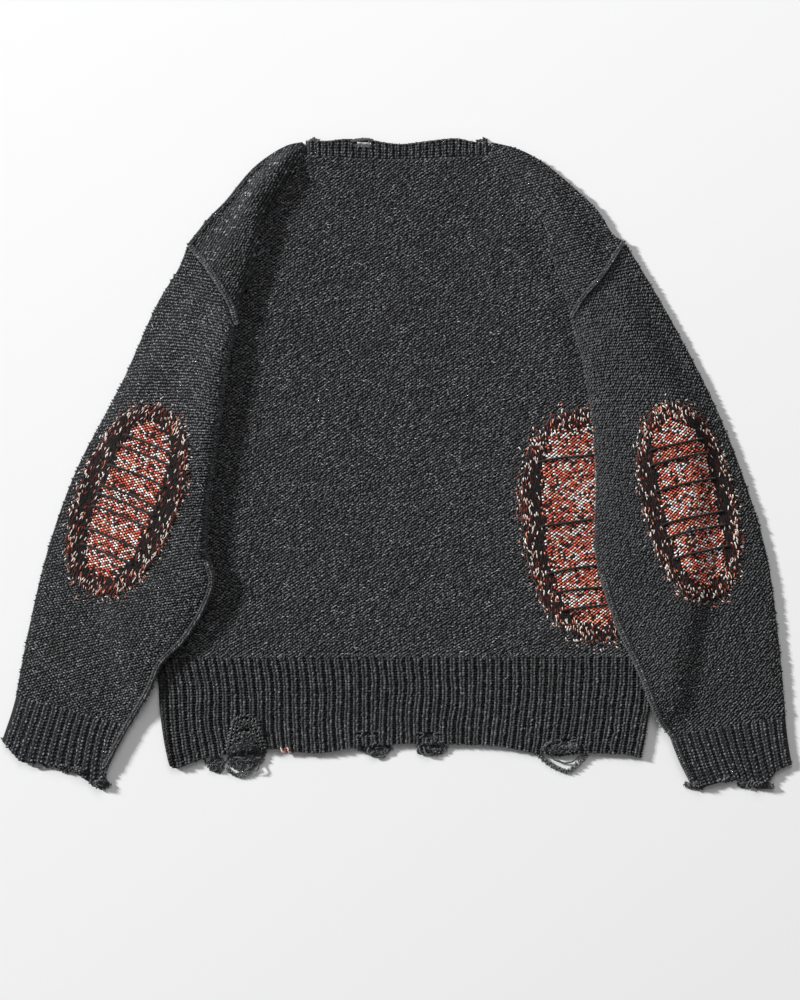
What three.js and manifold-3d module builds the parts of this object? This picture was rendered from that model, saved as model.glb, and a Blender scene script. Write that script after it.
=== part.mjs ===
// A wide drop-shoulder crew-neck sweater laid flat with its back upwards and both sleeves drawn down
// over its sides. Millimetres, +Z up: the front panel lies on z = 0, X runs across the back and Y up
// to the neck. Cloth is a wall of one knitted layer, and layers lie on each other a small gap apart.
import * as THREE from "three";
import { mergeVertices } from "three/addons/utils/BufferGeometryUtils.js";
import Module from "manifold-3d";

const wasm = await Module();
wasm.setup();

// ---- Driving dimensions ----
const CLOTH = 3; // wall of one knitted layer
const GAP = 0.3; // clearance at a seam and between layers
const LAYER = CLOTH + GAP; // rise from one layer to the next
const PATCH = 1.5; // wall of a darned patch
const RIB_LINE = -205.6; // Y where the body joins its hem rib
const CROWN = 2.8; // how far a sleeve's upper layer stands off its lower one
const LEAN = 18; // how far outside the body a sleeve stays at full height
const DRAPE = 34; // width over which it then comes down to the ground
const NECK_HALF = 98.5; // half the width of the neck, measured over the band
const BAND_END = 337.5; // Y of the band's lower edge at the shoulders
const FRONT_NECK_DROP = 88; // depth of the front neckline below the shoulders
const BAND_WIDTH = 16.5; // width of the ribbed neckband
const SIDE_STEPS = 12; // columns across a sleeve
const SLEEVE_ROWS = 16;
const SEAM_SHARE = 0.0045; // share of a sleeve left clear at its armhole seam
const SEAM_REACH = 0.3; // share of a sleeve over which the bow of its armhole fades out
const DRAPE_START = 0.12; // share of a sleeve by which it has left the shoulder's height for the body's
const LIFT_FROM = 0.05; // shares of a sleeve between which it rises over what lies on the body
const LIFT_TO = 0.25;
const LOWER_FROM = 0.9; // share of a sleeve where it starts to come down to its cuff
const CROWN_FULL = 0.1; // share of a sleeve by which its puff has grown
const CROWN_FROM = 0.85; // share of a sleeve where its puff starts to flatten
const CROWN_LEFT = 0.3; // share of the puff left at the cuff
const CROWN_POWER = 0.7; // below 1 for a broad puff with steep edges
const CUFF_ROWS = 3;
const CUFF_SHARE = 0.014; // share of a cuff left clear at the end of its sleeve
const VALLEY = 10; // how far the shoulder's cloth starts inside its ridge
const VALLEY_LAP = 7; // where the flat back ends inside the ridge, so that the two overlap
const PLEAT_POWER = 1.4; // how the pleat deepens down the ridge
const PLEAT_LEAST = 2; // the pleat's depth at the neck
const PLEAT_ROW = 0.97; // share of the ridge where the flat back turns into the pleat
const PLEAT_CLEAR = 3; // how far it stops short of the pleat's fold
const CREST = 6; // how far beyond the pleat the shoulder starts to fall
const CREST_MOST = 0.45; // the same as the largest share of the shoulder's width
const BUMP_FROM = 0.15; // share of a first row's width where it starts to rise
const TUCK = [0.6, 0.4]; // how far the front panel is set in from the back's outline, in x and y
const BAND_END_LAP = 13; // height of the block that joins the neckband's two levels
const BAND_FRONT_LAP = 10; // how far the band's front half runs up under its back half
const NECK_STEPS = 16;
const OVAL_POINTS = 28;
const TALL = 40; // more than the height of the whole garment
const FLAP_ROWS = [0, 0.08, 0.16, 0.26, 0.38, 0.5, 0.62, 0.74, 0.87, 1];

// Ground plan of each side, from the neck outwards and down. Each list holds [x, y] points of a
// smooth curve, so it has only the points that its bends need.
const LEFT = {
  ridge: [[-103, 341], [-126, 299], [-144, 274], [-154.5, 230], [-161, 201], [-171, 177], [-174, 151.5]],
  shoulder: [[-103, 350.5], [-119, 347], [-154.5, 324], [-188, 285], [-204.5, 268.5], [-227, 240.5]],
  seam: [[-174, 151.5], [-179.5, 172], [-192, 194], [-206, 215], [-227, 240.5]],
  outer: [[-227, 240.5], [-237, 215], [-260, 177], [-301.5, 85], [-349, -5.5], [-380, -91.5], [-401.5, -180.5],
    [-415.5, -252.5]],
  inner: [[-174, 151.5], [-182, 118.5], [-188, 80.5], [-196, 14], [-203.5, -41.5], [-205.5, -97], [-198, -128],
    [-210, -161], [-231.5, -193.5], [-254.5, -216.5], [-266.5, -243.5], [-291.5, -286]],
  cuff: [[-316.5, -331], [-324, -351], [-356, -333], [-394, -325.5], [-408, -324.5], [-431, -300.5]],
  cuffOuter: [[-415.5, -252.5], [-421, -272], [-431, -300.5]],
  cuffInner: [[-291.5, -286], [-298, -298], [-316.5, -331]],
  side: [[-232, 118], [-276, 52], [-284, -60], [-281, -150], [-271, RIB_LINE]],
  hemSide: [[-268, RIB_LINE], [-260, -241.5], [-256, -290], [-248, -326.5]],
  pleat: 44, // depth of the shoulder pleat where it meets the armhole
  rise: [0.3, 0.65], // how far the pleat has risen on its first rows, before it folds over
  lift: 0, // extra height of the sleeve where it lies on the body
};
const RIGHT = {
  ridge: [[103, 341], [128.5, 304.5], [159, 263], [166.5, 229.5], [180.5, 190.5], [189.5, 160]],
  shoulder: [[103, 350.5], [128.5, 344], [153.5, 332], [198, 296], [220, 274], [236, 249], [247.5, 242.5]],
  seam: [[189.5, 160], [203.5, 183], [220, 201.5], [247.5, 242.5]],
  outer: [[247.5, 242.5], [259, 224], [297, 160], [344, 69.5], [375.5, -8.5], [402.5, -97], [416.5, -197],
    [423.5, -274]],
  inner: [[189.5, 160], [203.5, 104.5], [213, 40.5], [216.5, -13], [216.5, -100], [235, -168.5], [261, -225],
    [281.5, -276], [296, -296]],
  cuff: [[319, -347], [327.5, -352], [357, -345], [373, -342.5], [396, -351], [415.5, -333], [431, -326.5]],
  cuffOuter: [[423.5, -274], [427.5, -307], [431, -326.5]],
  cuffInner: [[296, -296], [307, -324], [319, -347]],
  side: [[252, 118], [289, 52], [297, -60], [294, -150], [284, RIB_LINE]],
  hemSide: [[281, RIB_LINE], [275.5, -264.5], [270, -296], [265.5, -320]],
  pleat: 36,
  rise: [0.1, 0.3, 0.5, 0.7, 0.9],
  lift: PATCH + GAP,
};
const BAND_TOP = [[-NECK_HALF, 352.5], [-76, 352], [-57, 354], [-28, 352.5], [3, 348.5], [35, 352], [65, 354.7],
  [84, 351], [NECK_HALF, 350.5]];
const BAND_BASE = [[-NECK_HALF, BAND_END], [-55, 334], [0, 332.3], [55, 334.5], [NECK_HALF, BAND_END]];
const HEM_BASE = [[-248, -326.5], [-242.5, -331], [-212, -321], [-140.5, -310], [-86, -314.5], [-43.5, -308],
  [3.5, -304.5], [53.5, -304.5], [112, -307], [151, -314.5], [210, -314.5], [252.5, -316.5], [265.5, -320]];
// Worn-through slots, as middle, width and height: three in the hem rib and one in the neckband.
const HEM_SLOTS = [[-32, -293.5, 22, 4.5], [34.5, -295, 26, 5], [184, -303, 21, 6]];
const NECK_SLOTS = [[-37.5, 348.2, 20, 3]];
// Darned ovals: middle, half length and half width, tilt from upright in degrees, and squareness.
const PATCHES = {
  patch_left_sleeve: { middle: [-292.5, -40], half: [108, 56], tilt: -21, power: 2.2 },
  patch_right_sleeve: { middle: [317, -42], half: [110, 51], tilt: 13, power: 2.2 },
  patch_back: { middle: [213.5, -66], half: [127, 77], tilt: 7, power: 2.3 },
};
const COLOURS = { knit: 0x3d3e41, rib: 0x37383b, darn: 0x8a4436 };

// ---- Plan curves ----
const smooth = (points) =>
  new THREE.CatmullRomCurve3(points.map(([x, y]) => new THREE.Vector3(x, y, 0)), false, "centripetal");
const sampled = (points, count) => smooth(points).getSpacedPoints(count).map((p) => [p.x, p.y]);
const ease = (x, from, to) => THREE.MathUtils.smoothstep(x, from, to);

/** X of a side's edge at height y, from its sampled curve, which goes steadily down. */
function edgeAt(curve, y) {
  for (let i = 1; i < curve.length; i += 1) {
    const [x0, y0] = curve[i - 1];
    const [x1, y1] = curve[i];
    if (y >= y1) return x0 + ((x1 - x0) * (y - y0)) / (y1 - y0);
  }
  return curve[curve.length - 1][0];
}

// ---- Solids ----
const material = (colour) => new THREE.MeshStandardMaterial({ color: colour, roughness: 0.95, metalness: 0 });

function toSolid(geometry) {
  const bare = geometry.clone();
  bare.deleteAttribute("normal");
  bare.deleteAttribute("uv");
  const joined = mergeVertices(bare, 1e-3);
  const mesh = new wasm.Mesh({
    numProp: 3,
    vertProperties: new Float32Array(joined.attributes.position.array),
    triVerts: new Uint32Array(joined.index.array),
  });
  return new wasm.Manifold(mesh);
}

function toGeometry(solid) {
  const mesh = solid.getMesh();
  const geometry = new THREE.BufferGeometry();
  geometry.setAttribute("position", new THREE.BufferAttribute(new Float32Array(mesh.vertProperties), 3));
  geometry.setIndex(new THREE.BufferAttribute(new Uint32Array(mesh.triVerts), 1));
  return geometry;
}

/** A flat layer of cloth with this outline, from z = low up, with slots cut through it. */
function flatLayer(outline, low, height = CLOTH, slots = []) {
  const shape = new THREE.Shape(outline.map(([x, y]) => new THREE.Vector2(x, y)));
  for (const [x, y, width, tall] of slots) {
    const slot = new THREE.Path();
    slot.absellipse(x, y, width / 2, tall / 2, 0, 2 * Math.PI, true);
    shape.holes.push(slot);
  }
  const geometry = new THREE.ExtrudeGeometry(shape, { depth: height, bevelEnabled: false, curveSegments: 5 });
  return geometry.translate(0, 0, low);
}

/** Two surfaces over the same grid of points, joined all round into one closed wall. */
function wallBetween(under, over, closed) {
  const rows = under.length;
  const columns = under[0].length;
  const positions = [...under.flat(), ...over.flat()].flatMap((p) => [p.x, p.y, p.z]);
  const low = (r, c) => r * columns + (c % columns);
  const high = (r, c) => rows * columns + low(r, c);
  const index = [];
  const quad = (a, b, c, d) => index.push(a, b, c, a, c, d);
  const last = closed ? columns : columns - 1;
  for (let r = 0; r < rows - 1; r += 1) {
    for (let c = 0; c < last; c += 1) {
      quad(high(r, c), high(r, c + 1), high(r + 1, c + 1), high(r + 1, c));
      quad(low(r, c), low(r + 1, c), low(r + 1, c + 1), low(r, c + 1));
    }
  }
  for (let c = 0; c < last; c += 1) {
    quad(low(0, c), low(0, c + 1), high(0, c + 1), high(0, c));
    quad(high(rows - 1, c), high(rows - 1, c + 1), low(rows - 1, c + 1), low(rows - 1, c));
  }
  if (!closed) {
    for (let r = 0; r < rows - 1; r += 1) {
      quad(high(r, 0), high(r + 1, 0), low(r + 1, 0), low(r, 0));
      quad(low(r, last), low(r + 1, last), high(r + 1, last), high(r, last));
    }
  }
  const geometry = new THREE.BufferGeometry();
  geometry.setAttribute("position", new THREE.Float32BufferAttribute(positions, 3));
  geometry.setIndex(index);
  return facingOut(geometry);
}

/** Turns every face round if the closed geometry has its faces pointing in. */
function facingOut(geometry) {
  const points = geometry.attributes.position;
  const index = geometry.index.array;
  const [a, b, c] = [new THREE.Vector3(), new THREE.Vector3(), new THREE.Vector3()];
  let volume = 0;
  for (let i = 0; i < index.length; i += 3) {
    a.fromBufferAttribute(points, index[i]);
    b.fromBufferAttribute(points, index[i + 1]);
    c.fromBufferAttribute(points, index[i + 2]);
    volume += a.dot(b.cross(c));
  }
  if (volume < 0) geometry.setIndex(Array.from(index).reverse());
  return geometry;
}

/** Each grid point moved by a distance along the grid's own normal. */
function movedOut(grid, distance, closed) {
  const columns = grid[0].length;
  const wrap = (c) => (closed ? (c + columns) % columns : THREE.MathUtils.clamp(c, 0, columns - 1));
  return grid.map((row, r) => row.map((point, c) => {
    const along = new THREE.Vector3().subVectors(
      grid[Math.min(r + 1, grid.length - 1)][c],
      grid[Math.max(r - 1, 0)][c],
    );
    const across = new THREE.Vector3().subVectors(row[wrap(c + 1)], row[wrap(c - 1)]);
    return point.clone().addScaledVector(across.cross(along).normalize(), distance);
  }));
}

const wallOf = (grid, closed) =>
  wallBetween(movedOut(grid, -CLOTH / 2, closed), movedOut(grid, CLOTH / 2, closed), closed);

// ---- One side's layout, shared by its shoulder flap, sleeve and cuff ----
function layout(plan) {
  const hand = Math.sign(plan.outer[0][0]);
  const curves = {};
  for (const name of ["ridge", "shoulder", "seam", "outer", "inner", "cuff", "cuffOuter", "cuffInner"]) {
    curves[name] = smooth(plan[name]);
  }
  const edge = sampled([...plan.side, ...plan.hemSide.slice(1)], 40);
  return { ...plan, hand, curves, edge };
}

/** How far the armhole seam bows away from the straight line between its ends, at share q of it. */
function seamBow(side, q) {
  const { seam } = side.curves;
  const straight = new THREE.Vector3().lerpVectors(seam.getPointAt(0), seam.getPointAt(1), q);
  return seam.getPointAt(q).sub(straight);
}

/** A point of the shoulder: share s down its ridge, then a distance out from the ridge. */
function shoulderPoint(side, s, distance) {
  const ridge = side.curves.ridge.getPointAt(s);
  const edge = side.curves.shoulder.getPointAt(s);
  const width = ridge.distanceTo(edge);
  const q = THREE.MathUtils.clamp(distance / width, 0, 1);
  const point = ridge.addScaledVector(edge.sub(ridge).divideScalar(width), distance);
  return point.addScaledVector(seamBow(side, q), s ** 3);
}

const shoulderWidth = (side, s) =>
  side.curves.ridge.getPointAt(s).distanceTo(side.curves.shoulder.getPointAt(s));

/** Share of a side's full height left at share q of its armhole seam, which the sleeve takes over. */
const seamHeight = (side, q) => 1 - ease(q, (side.pleat + CREST) / shoulderWidth(side, 1), 1);

/** Middle line of the shoulder at row s, as [distance from the ridge, height] pairs. */
function pleatProfile(side, s, risen) {
  const turn = LAYER / 2;
  const floor = LAYER + CLOTH / 2;
  const width = shoulderWidth(side, s);
  const depth = risen < 1 ? 0 : Math.max(PLEAT_LEAST, side.pleat * s ** PLEAT_POWER);
  const nose = turn + CLOTH / 2;
  const folded = [[-VALLEY, floor]];
  for (const share of [0, 0.25, 0.5, 0.75]) {
    folded.push([THREE.MathUtils.lerp(-VALLEY / 2, depth, share), floor]);
  }
  const arc = [-90, -45, 0, 45, 90].map((degrees) => THREE.MathUtils.degToRad(degrees));
  for (const angle of arc) {
    folded.push([depth + turn * Math.cos(angle), floor + turn + turn * Math.sin(angle)]);
  }
  for (const share of [0.75, 0.5, 0.25]) {
    folded.push([THREE.MathUtils.lerp(nose, depth, share), floor + 2 * turn]);
  }
  for (const angle of arc) {
    folded.push([nose - turn * Math.cos(angle), floor + 3 * turn + turn * Math.sin(angle)]);
  }
  const crown = Math.max(depth, nose + PLEAT_LEAST);
  for (const share of [0.25, 0.5, 0.75]) {
    folded.push([THREE.MathUtils.lerp(nose, crown, share), floor + 4 * turn]);
  }
  const crest = Math.min(depth + CREST, width * CREST_MOST);
  const bump = [...folded.keys()].map((i) => {
    const share = i / (folded.length - 1);
    const distance = THREE.MathUtils.lerp(-VALLEY, nose + 1, share);
    return [distance, floor + 2 * LAYER * risen * ease(share, BUMP_FROM, 1)];
  });
  const profile = risen < 1 ? bump : folded;
  for (const share of [0, 0.16, 0.33, 0.5, 0.67, 0.84, 1]) {
    const distance = crest + (width - crest) * share;
    const height = 1 - ease(distance / width, crest / width, 1);
    profile.push([Math.max(distance, crown + 0.5 + share), floor + 2 * LAYER * Math.min(risen, 1) * height]);
  }
  return profile;
}

/** The back panel: the flat back, with a pleat at each shoulder that rises from the neck point. */
function backPanel(sides) {
  const [left, right] = sides;
  const onFlap = (side) => [
    ...[0, 0.2, 0.4, 0.6, 0.8, PLEAT_ROW].map((s) => shoulderPoint(side, s, -VALLEY_LAP)),
    ...[0, 0.5].map((share) => shoulderPoint(side, PLEAT_ROW, side.pleat * share)),
    shoulderPoint(side, PLEAT_ROW, side.pleat - PLEAT_CLEAR),
  ].map((p) => [p.x, p.y]);
  const down = (side) => [...onFlap(side), ...sampled(side.side, 14)];
  const outline = [...down(left), ...down(right).reverse(), ...neckline().reverse()];
  let solid = toSolid(flatLayer(outline, LAYER));
  for (const side of sides) {
    const grid = FLAP_ROWS.map((s, row) => {
      const risen = row < side.rise.length ? side.rise[row] : 1;
      return pleatProfile(side, s, risen).map(([distance, height]) => {
        const point = shoulderPoint(side, s, distance);
        point.z = height;
        return point;
      });
    });
    solid = solid.add(toSolid(wallOf(grid, false)));
  }
  return toGeometry(solid);
}

const neckline = () => sampled(BAND_BASE, 12).map(([x, y]) => [x, y - GAP]);

/** The front neckline, as half an ellipse inside the shoulders, drawn in by a distance. */
function frontNeck(inset) {
  const points = [];
  for (let step = 0; step <= NECK_STEPS; step += 1) {
    const angle = Math.PI + (Math.PI * step) / NECK_STEPS;
    points.push([
      (NECK_HALF - inset) * Math.cos(angle),
      BAND_END + (FRONT_NECK_DROP - inset) * Math.sin(angle),
    ]);
  }
  return points;
}

function frontPanel(sides) {
  const [left, right] = sides;
  const down = (side) => {
    const top = sampled(side.shoulder, 9);
    const seam = [1, 0.85, 0.7].map((q) => side.curves.seam.getPointAt(q));
    return [
      ...top.slice(0, -1).map(([x, y]) => [x - TUCK[0] * side.hand, y - TUCK[1]]),
      ...seam.map((p) => [p.x - TUCK[0] * side.hand, p.y + TUCK[0]]),
      valleyEnd(side),
      ...sampled(side.side, 14),
    ];
  };
  const neck = frontNeck(-GAP);
  return flatLayer([...down(left), ...down(right).reverse(), ...neck.reverse()], 0);
}

/** Where the pleat's valley meets the armhole. */
function valleyEnd(side) {
  const point = shoulderPoint(side, PLEAT_ROW, side.pleat - PLEAT_CLEAR);
  return [point.x, point.y];
}

function hemRib([left, right], low, slots) {
  const gapped = (side) => sampled(side.hemSide, 5).map(([x, y], i) => [x, i ? y : y - GAP]);
  const base = sampled(HEM_BASE, 30).slice(1, -1);
  return flatLayer([...gapped(left), ...base, ...gapped(right).reverse()], low, CLOTH, slots);
}

/** The neckband: one ribbed ring, its back half on the back panel's level and its front half below. */
function neckband() {
  const end = (hand) => [
    [hand * NECK_HALF, BAND_END],
    [hand * NECK_HALF, BAND_END + BAND_END_LAP],
    [hand * (NECK_HALF - BAND_WIDTH), BAND_END + BAND_END_LAP],
    [hand * (NECK_HALF - BAND_WIDTH), BAND_END],
  ];
  const back = [...sampled(BAND_BASE, 12), ...sampled(BAND_TOP, 20).reverse()];
  const front = [
    [-NECK_HALF, BAND_END + BAND_FRONT_LAP],
    ...frontNeck(0),
    [NECK_HALF, BAND_END + BAND_FRONT_LAP],
    [NECK_HALF - BAND_WIDTH, BAND_END + BAND_FRONT_LAP],
    ...frontNeck(BAND_WIDTH).reverse(),
    [BAND_WIDTH - NECK_HALF, BAND_END + BAND_FRONT_LAP],
  ];
  let solid = toSolid(flatLayer(back, LAYER, CLOTH, NECK_SLOTS)).add(toSolid(flatLayer(front, 0)));
  for (const hand of [-1, 1]) {
    solid = solid.add(toSolid(flatLayer(end(hand), CLOTH / 2, LAYER)));
  }
  return toGeometry(solid);
}

/** A point of the sleeve: share s down it and share q of its width out from its inner edge. */
function sleevePoint(side, s, q) {
  const { inner, outer } = side.curves;
  const point = new THREE.Vector3().lerpVectors(inner.getPointAt(s), outer.getPointAt(s), q);
  const nearSeam = Math.max(0, 1 - s / SEAM_REACH) ** 2;
  const clear = new THREE.Vector3(side.hand * GAP, -GAP, 0);
  return point.addScaledVector(seamBow(side, q).add(clear), nearSeam);
}

const sleeveWidth = (side, s) =>
  side.curves.inner.getPointAt(s).distanceTo(side.curves.outer.getPointAt(s));

/** Height of a sleeve's underside: over the body where it lies on it, and on the ground elsewhere. */
function underSleeve(side, s, q) {
  const point = sleevePoint(side, s, q);
  const outside = (point.x - edgeAt(side.edge, point.y)) * side.hand;
  const draped = 1 - ease(outside, LEAN, LEAN + DRAPE);
  const share = THREE.MathUtils.lerp(seamHeight(side, q), draped, ease(s, 0, DRAPE_START));
  const full = 2 * LAYER + side.lift * ease(s, LIFT_FROM, LIFT_TO);
  return full * share * (1 - ease(s, LOWER_FROM, 1));
}

/** Middle line of a flattened tube of cloth, once round: under layer outwards, then upper one back. */
function tubeRing(place, under, width, crown) {
  const turn = LAYER / 2;
  const nose = turn + CLOTH / 2;
  const ring = [];
  const add = (distance, height) => {
    const q = distance / width;
    const point = place(q);
    point.z = under(q) + height;
    ring.push(point);
  };
  const step = (width - 2 * nose) / SIDE_STEPS;
  for (let i = 0; i <= SIDE_STEPS; i += 1) add(nose + step * i, CLOTH / 2);
  add(width - nose + turn, CLOTH / 2 + turn);
  for (let i = SIDE_STEPS; i >= 0; i -= 1) {
    const puff = crown * Math.sin((Math.PI * i) / SIDE_STEPS) ** CROWN_POWER;
    add(nose + step * i, CLOTH / 2 + LAYER + puff);
  }
  add(nose - turn, CLOTH / 2 + turn);
  return ring;
}

/** The rings of a sleeve from its armhole seam to where its cuff rib begins. */
function sleeveRings(side) {
  const rings = [];
  for (let row = 0; row <= SLEEVE_ROWS; row += 1) {
    const s = SEAM_SHARE + ((1 - SEAM_SHARE) * row) / SLEEVE_ROWS;
    const crown = CROWN * ease(s, 0, CROWN_FULL) * (1 - (1 - CROWN_LEFT) * ease(s, CROWN_FROM, 1));
    const place = (q) => sleevePoint(side, s, q);
    const under = (q) => underSleeve(side, s, q);
    rings.push(tubeRing(place, under, sleeveWidth(side, s), crown));
  }
  return rings;
}

/** The rings of a cuff, from the sleeve's end to its own uneven edge. */
function cuffRings(side) {
  const { cuffInner, cuffOuter, cuff } = side.curves;
  const rings = [];
  for (let row = 0; row <= CUFF_ROWS; row += 1) {
    const s = CUFF_SHARE + ((1 - CUFF_SHARE) * row) / CUFF_ROWS;
    const inner = cuffInner.getPointAt(s);
    const outer = cuffOuter.getPointAt(s);
    const place = (q) => {
      const clamped = THREE.MathUtils.clamp(q, 0, 1);
      const straight = new THREE.Vector3().lerpVectors(cuff.getPointAt(0), cuff.getPointAt(1), clamped);
      const worn = cuff.getPointAt(clamped).sub(straight);
      return new THREE.Vector3().lerpVectors(inner, outer, q).addScaledVector(worn, s ** 2);
    };
    const crown = CROWN * CROWN_LEFT * (1 - s);
    rings.push(tubeRing(place, () => 0, inner.distanceTo(outer), crown));
  }
  return rings;
}

/** The outline of a darned patch: an oval with flattened sides, tilted about its middle. */
function oval({ middle, half, tilt, power }) {
  const points = [];
  const turned = THREE.MathUtils.degToRad(tilt);
  for (let i = 0; i < OVAL_POINTS; i += 1) {
    const angle = (2 * Math.PI * i) / OVAL_POINTS;
    const along = half[0] * Math.sign(Math.sin(angle)) * Math.abs(Math.sin(angle)) ** (2 / power);
    const across = half[1] * Math.sign(Math.cos(angle)) * Math.abs(Math.cos(angle)) ** (2 / power);
    points.push([
      middle[0] + across * Math.cos(turned) - along * Math.sin(turned),
      middle[1] + across * Math.sin(turned) + along * Math.cos(turned),
    ]);
  }
  return points;
}

/** A patch on a sleeve: the sleeve's own upper surface, moved up and cut to the patch's outline. */
function sleevePatch(side, patch) {
  const top = movedOut(sleeveRings(side), (side.hand * CLOTH) / 2, true)
    .map((ring) => ring.slice(SIDE_STEPS + 2, 2 * SIDE_STEPS + 3));
  const raised = (by) => top.map((row) => row.map((p) => new THREE.Vector3(p.x, p.y, p.z + by)));
  const skin = toSolid(wallBetween(raised(GAP), raised(GAP + PATCH), false));
  const prism = toSolid(flatLayer(oval(patch), -CLOTH, TALL));
  return toGeometry(skin.intersect(prism));
}

// ---- The sweater ----
const sweater = new THREE.Group();

function addPiece(name, geometry, colour) {
  const mesh = new THREE.Mesh(geometry, material(colour));
  mesh.name = name;
  sweater.add(mesh);
}

const sides = [layout(LEFT), layout(RIGHT)];
addPiece("front_panel", frontPanel(sides), COLOURS.knit);
addPiece("back_panel", backPanel(sides), COLOURS.knit);
addPiece("front_hem_rib", hemRib(sides, 0, []), COLOURS.rib);
addPiece("back_hem_rib", hemRib(sides, LAYER, HEM_SLOTS), COLOURS.rib);
addPiece("neckband", neckband(), COLOURS.rib);
for (const [index, name] of ["left", "right"].entries()) {
  const side = sides[index];
  addPiece(`${name}_sleeve`, wallOf(sleeveRings(side), true), COLOURS.knit);
  addPiece(`${name}_cuff`, wallOf(cuffRings(side), true), COLOURS.rib);
  addPiece(`patch_${name}_sleeve`, sleevePatch(side, PATCHES[`patch_${name}_sleeve`]), COLOURS.darn);
}
addPiece("patch_back", flatLayer(oval(PATCHES.patch_back), 2 * LAYER, PATCH), COLOURS.darn);

// The origin is on the ground under the middle of the whole garment.
const middle = new THREE.Box3().setFromObject(sweater).getCenter(new THREE.Vector3());
sweater.position.set(-middle.x, -middle.y, 0);

export default sweater;
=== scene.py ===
"""A charcoal wool sweater with darned patches, laid flat with its back upwards and both sleeves down.

Every cloth piece is a thin shell on the form of its solid. The knitting on the upper side is real
relief: each stitch is a small closed lump of yarn, and the ribs are waves of the cloth itself.
The garment is laid out in millimetres, and add_mesh moves it into the frame, in metres.
"""
import math

import bpy
import numpy as np
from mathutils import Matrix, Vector
from mathutils.bvhtree import BVHTree


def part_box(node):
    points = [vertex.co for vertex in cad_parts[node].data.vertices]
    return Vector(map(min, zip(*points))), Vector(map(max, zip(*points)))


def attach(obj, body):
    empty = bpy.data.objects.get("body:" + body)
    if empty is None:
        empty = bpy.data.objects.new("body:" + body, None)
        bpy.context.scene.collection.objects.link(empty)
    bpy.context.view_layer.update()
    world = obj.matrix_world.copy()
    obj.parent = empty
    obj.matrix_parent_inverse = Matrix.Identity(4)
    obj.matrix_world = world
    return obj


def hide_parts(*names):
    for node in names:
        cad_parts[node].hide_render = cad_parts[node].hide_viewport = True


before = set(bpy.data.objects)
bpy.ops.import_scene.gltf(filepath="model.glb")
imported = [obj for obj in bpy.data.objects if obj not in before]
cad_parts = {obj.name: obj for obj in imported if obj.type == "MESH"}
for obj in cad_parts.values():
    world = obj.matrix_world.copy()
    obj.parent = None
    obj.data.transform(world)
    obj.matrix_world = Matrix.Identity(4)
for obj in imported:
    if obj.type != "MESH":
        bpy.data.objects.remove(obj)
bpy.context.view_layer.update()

# ---- Sizes, in millimetres ----
CLOTH = 3.0  # wall of one knitted layer
GAP = 0.3  # clearance at a seam and between layers
LAYER = CLOTH + GAP
PATCH = 1.5  # wall of a darned patch
TURN = LAYER / 2  # radius of a fold's middle line
NOSE = TURN + CLOTH / 2  # a fold's outer radius
BACK_FLOOR = LAYER + CLOTH / 2  # middle of the back panel's cloth
BACK_TOP = LAYER + CLOTH
RIB_LINE = -205.6  # Y where the body joins its hem rib
NECK_HALF = 98.5
BAND_END = 337.5
BAND_WIDTH = 16.5
FRONT_NECK_DROP = 88
LEAN = 18  # how far outside the body a sleeve stays at full height
DRAPE = 34  # width over which it then comes down to the ground
SLEEVE_CROWN = 4.2  # puff of a sleeve's upper layer
ROLL_RISE = 2.4  # how fast a sleeve's rolled inner edge rises
LOWER_FROM = 0.9  # share of a sleeve where it starts to come down to its cuff
SEAM_SHARE = 0.0045  # share of a sleeve left clear at its armhole seam
SEAM_REACH = 0.3  # share of a sleeve over which the bow of its armhole fades out
DRAPE_START = 0.12  # share of a sleeve by which it has left the shoulder's height for the body's
LIFT_FROM = 0.05  # shares of a sleeve between which it rises over what lies on the body
LIFT_TO = 0.25
CREST = 6  # how far beyond the pleat the shoulder starts to fall
CREST_MOST = 0.45  # the same as the largest share of the shoulder's width
PLEAT_POWER = 1.4  # how the pleat deepens down the ridge
PLEAT_LEAST = 2.0  # the pleat's depth at the neck
PLEAT_ROW = 0.97  # share of the ridge where the flat back turns into the pleat
PLEAT_CLEAR = 3.0  # how far it stops short of the pleat's fold
VALLEY = 10  # how far the shoulder's cloth starts inside its ridge
TUCK = (0.6, 0.4)  # how far the front panel is set in from the back's outline, in x and y

STITCH = 5.06  # across one stitch
HALF_ROW = 1.675  # half the height of one row
CORD_ANGLE = math.radians(31)  # lean of a purl bump from its row
RIB_ROW = 3.0  # height of a row in the ribs
EDGE_LOW = 3.4  # no stitch lower than this, round the edges that lie on the ground
HEM_RIBS = 56
CUFF_RIBS = 13
NECK_RIBS = 27

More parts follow.
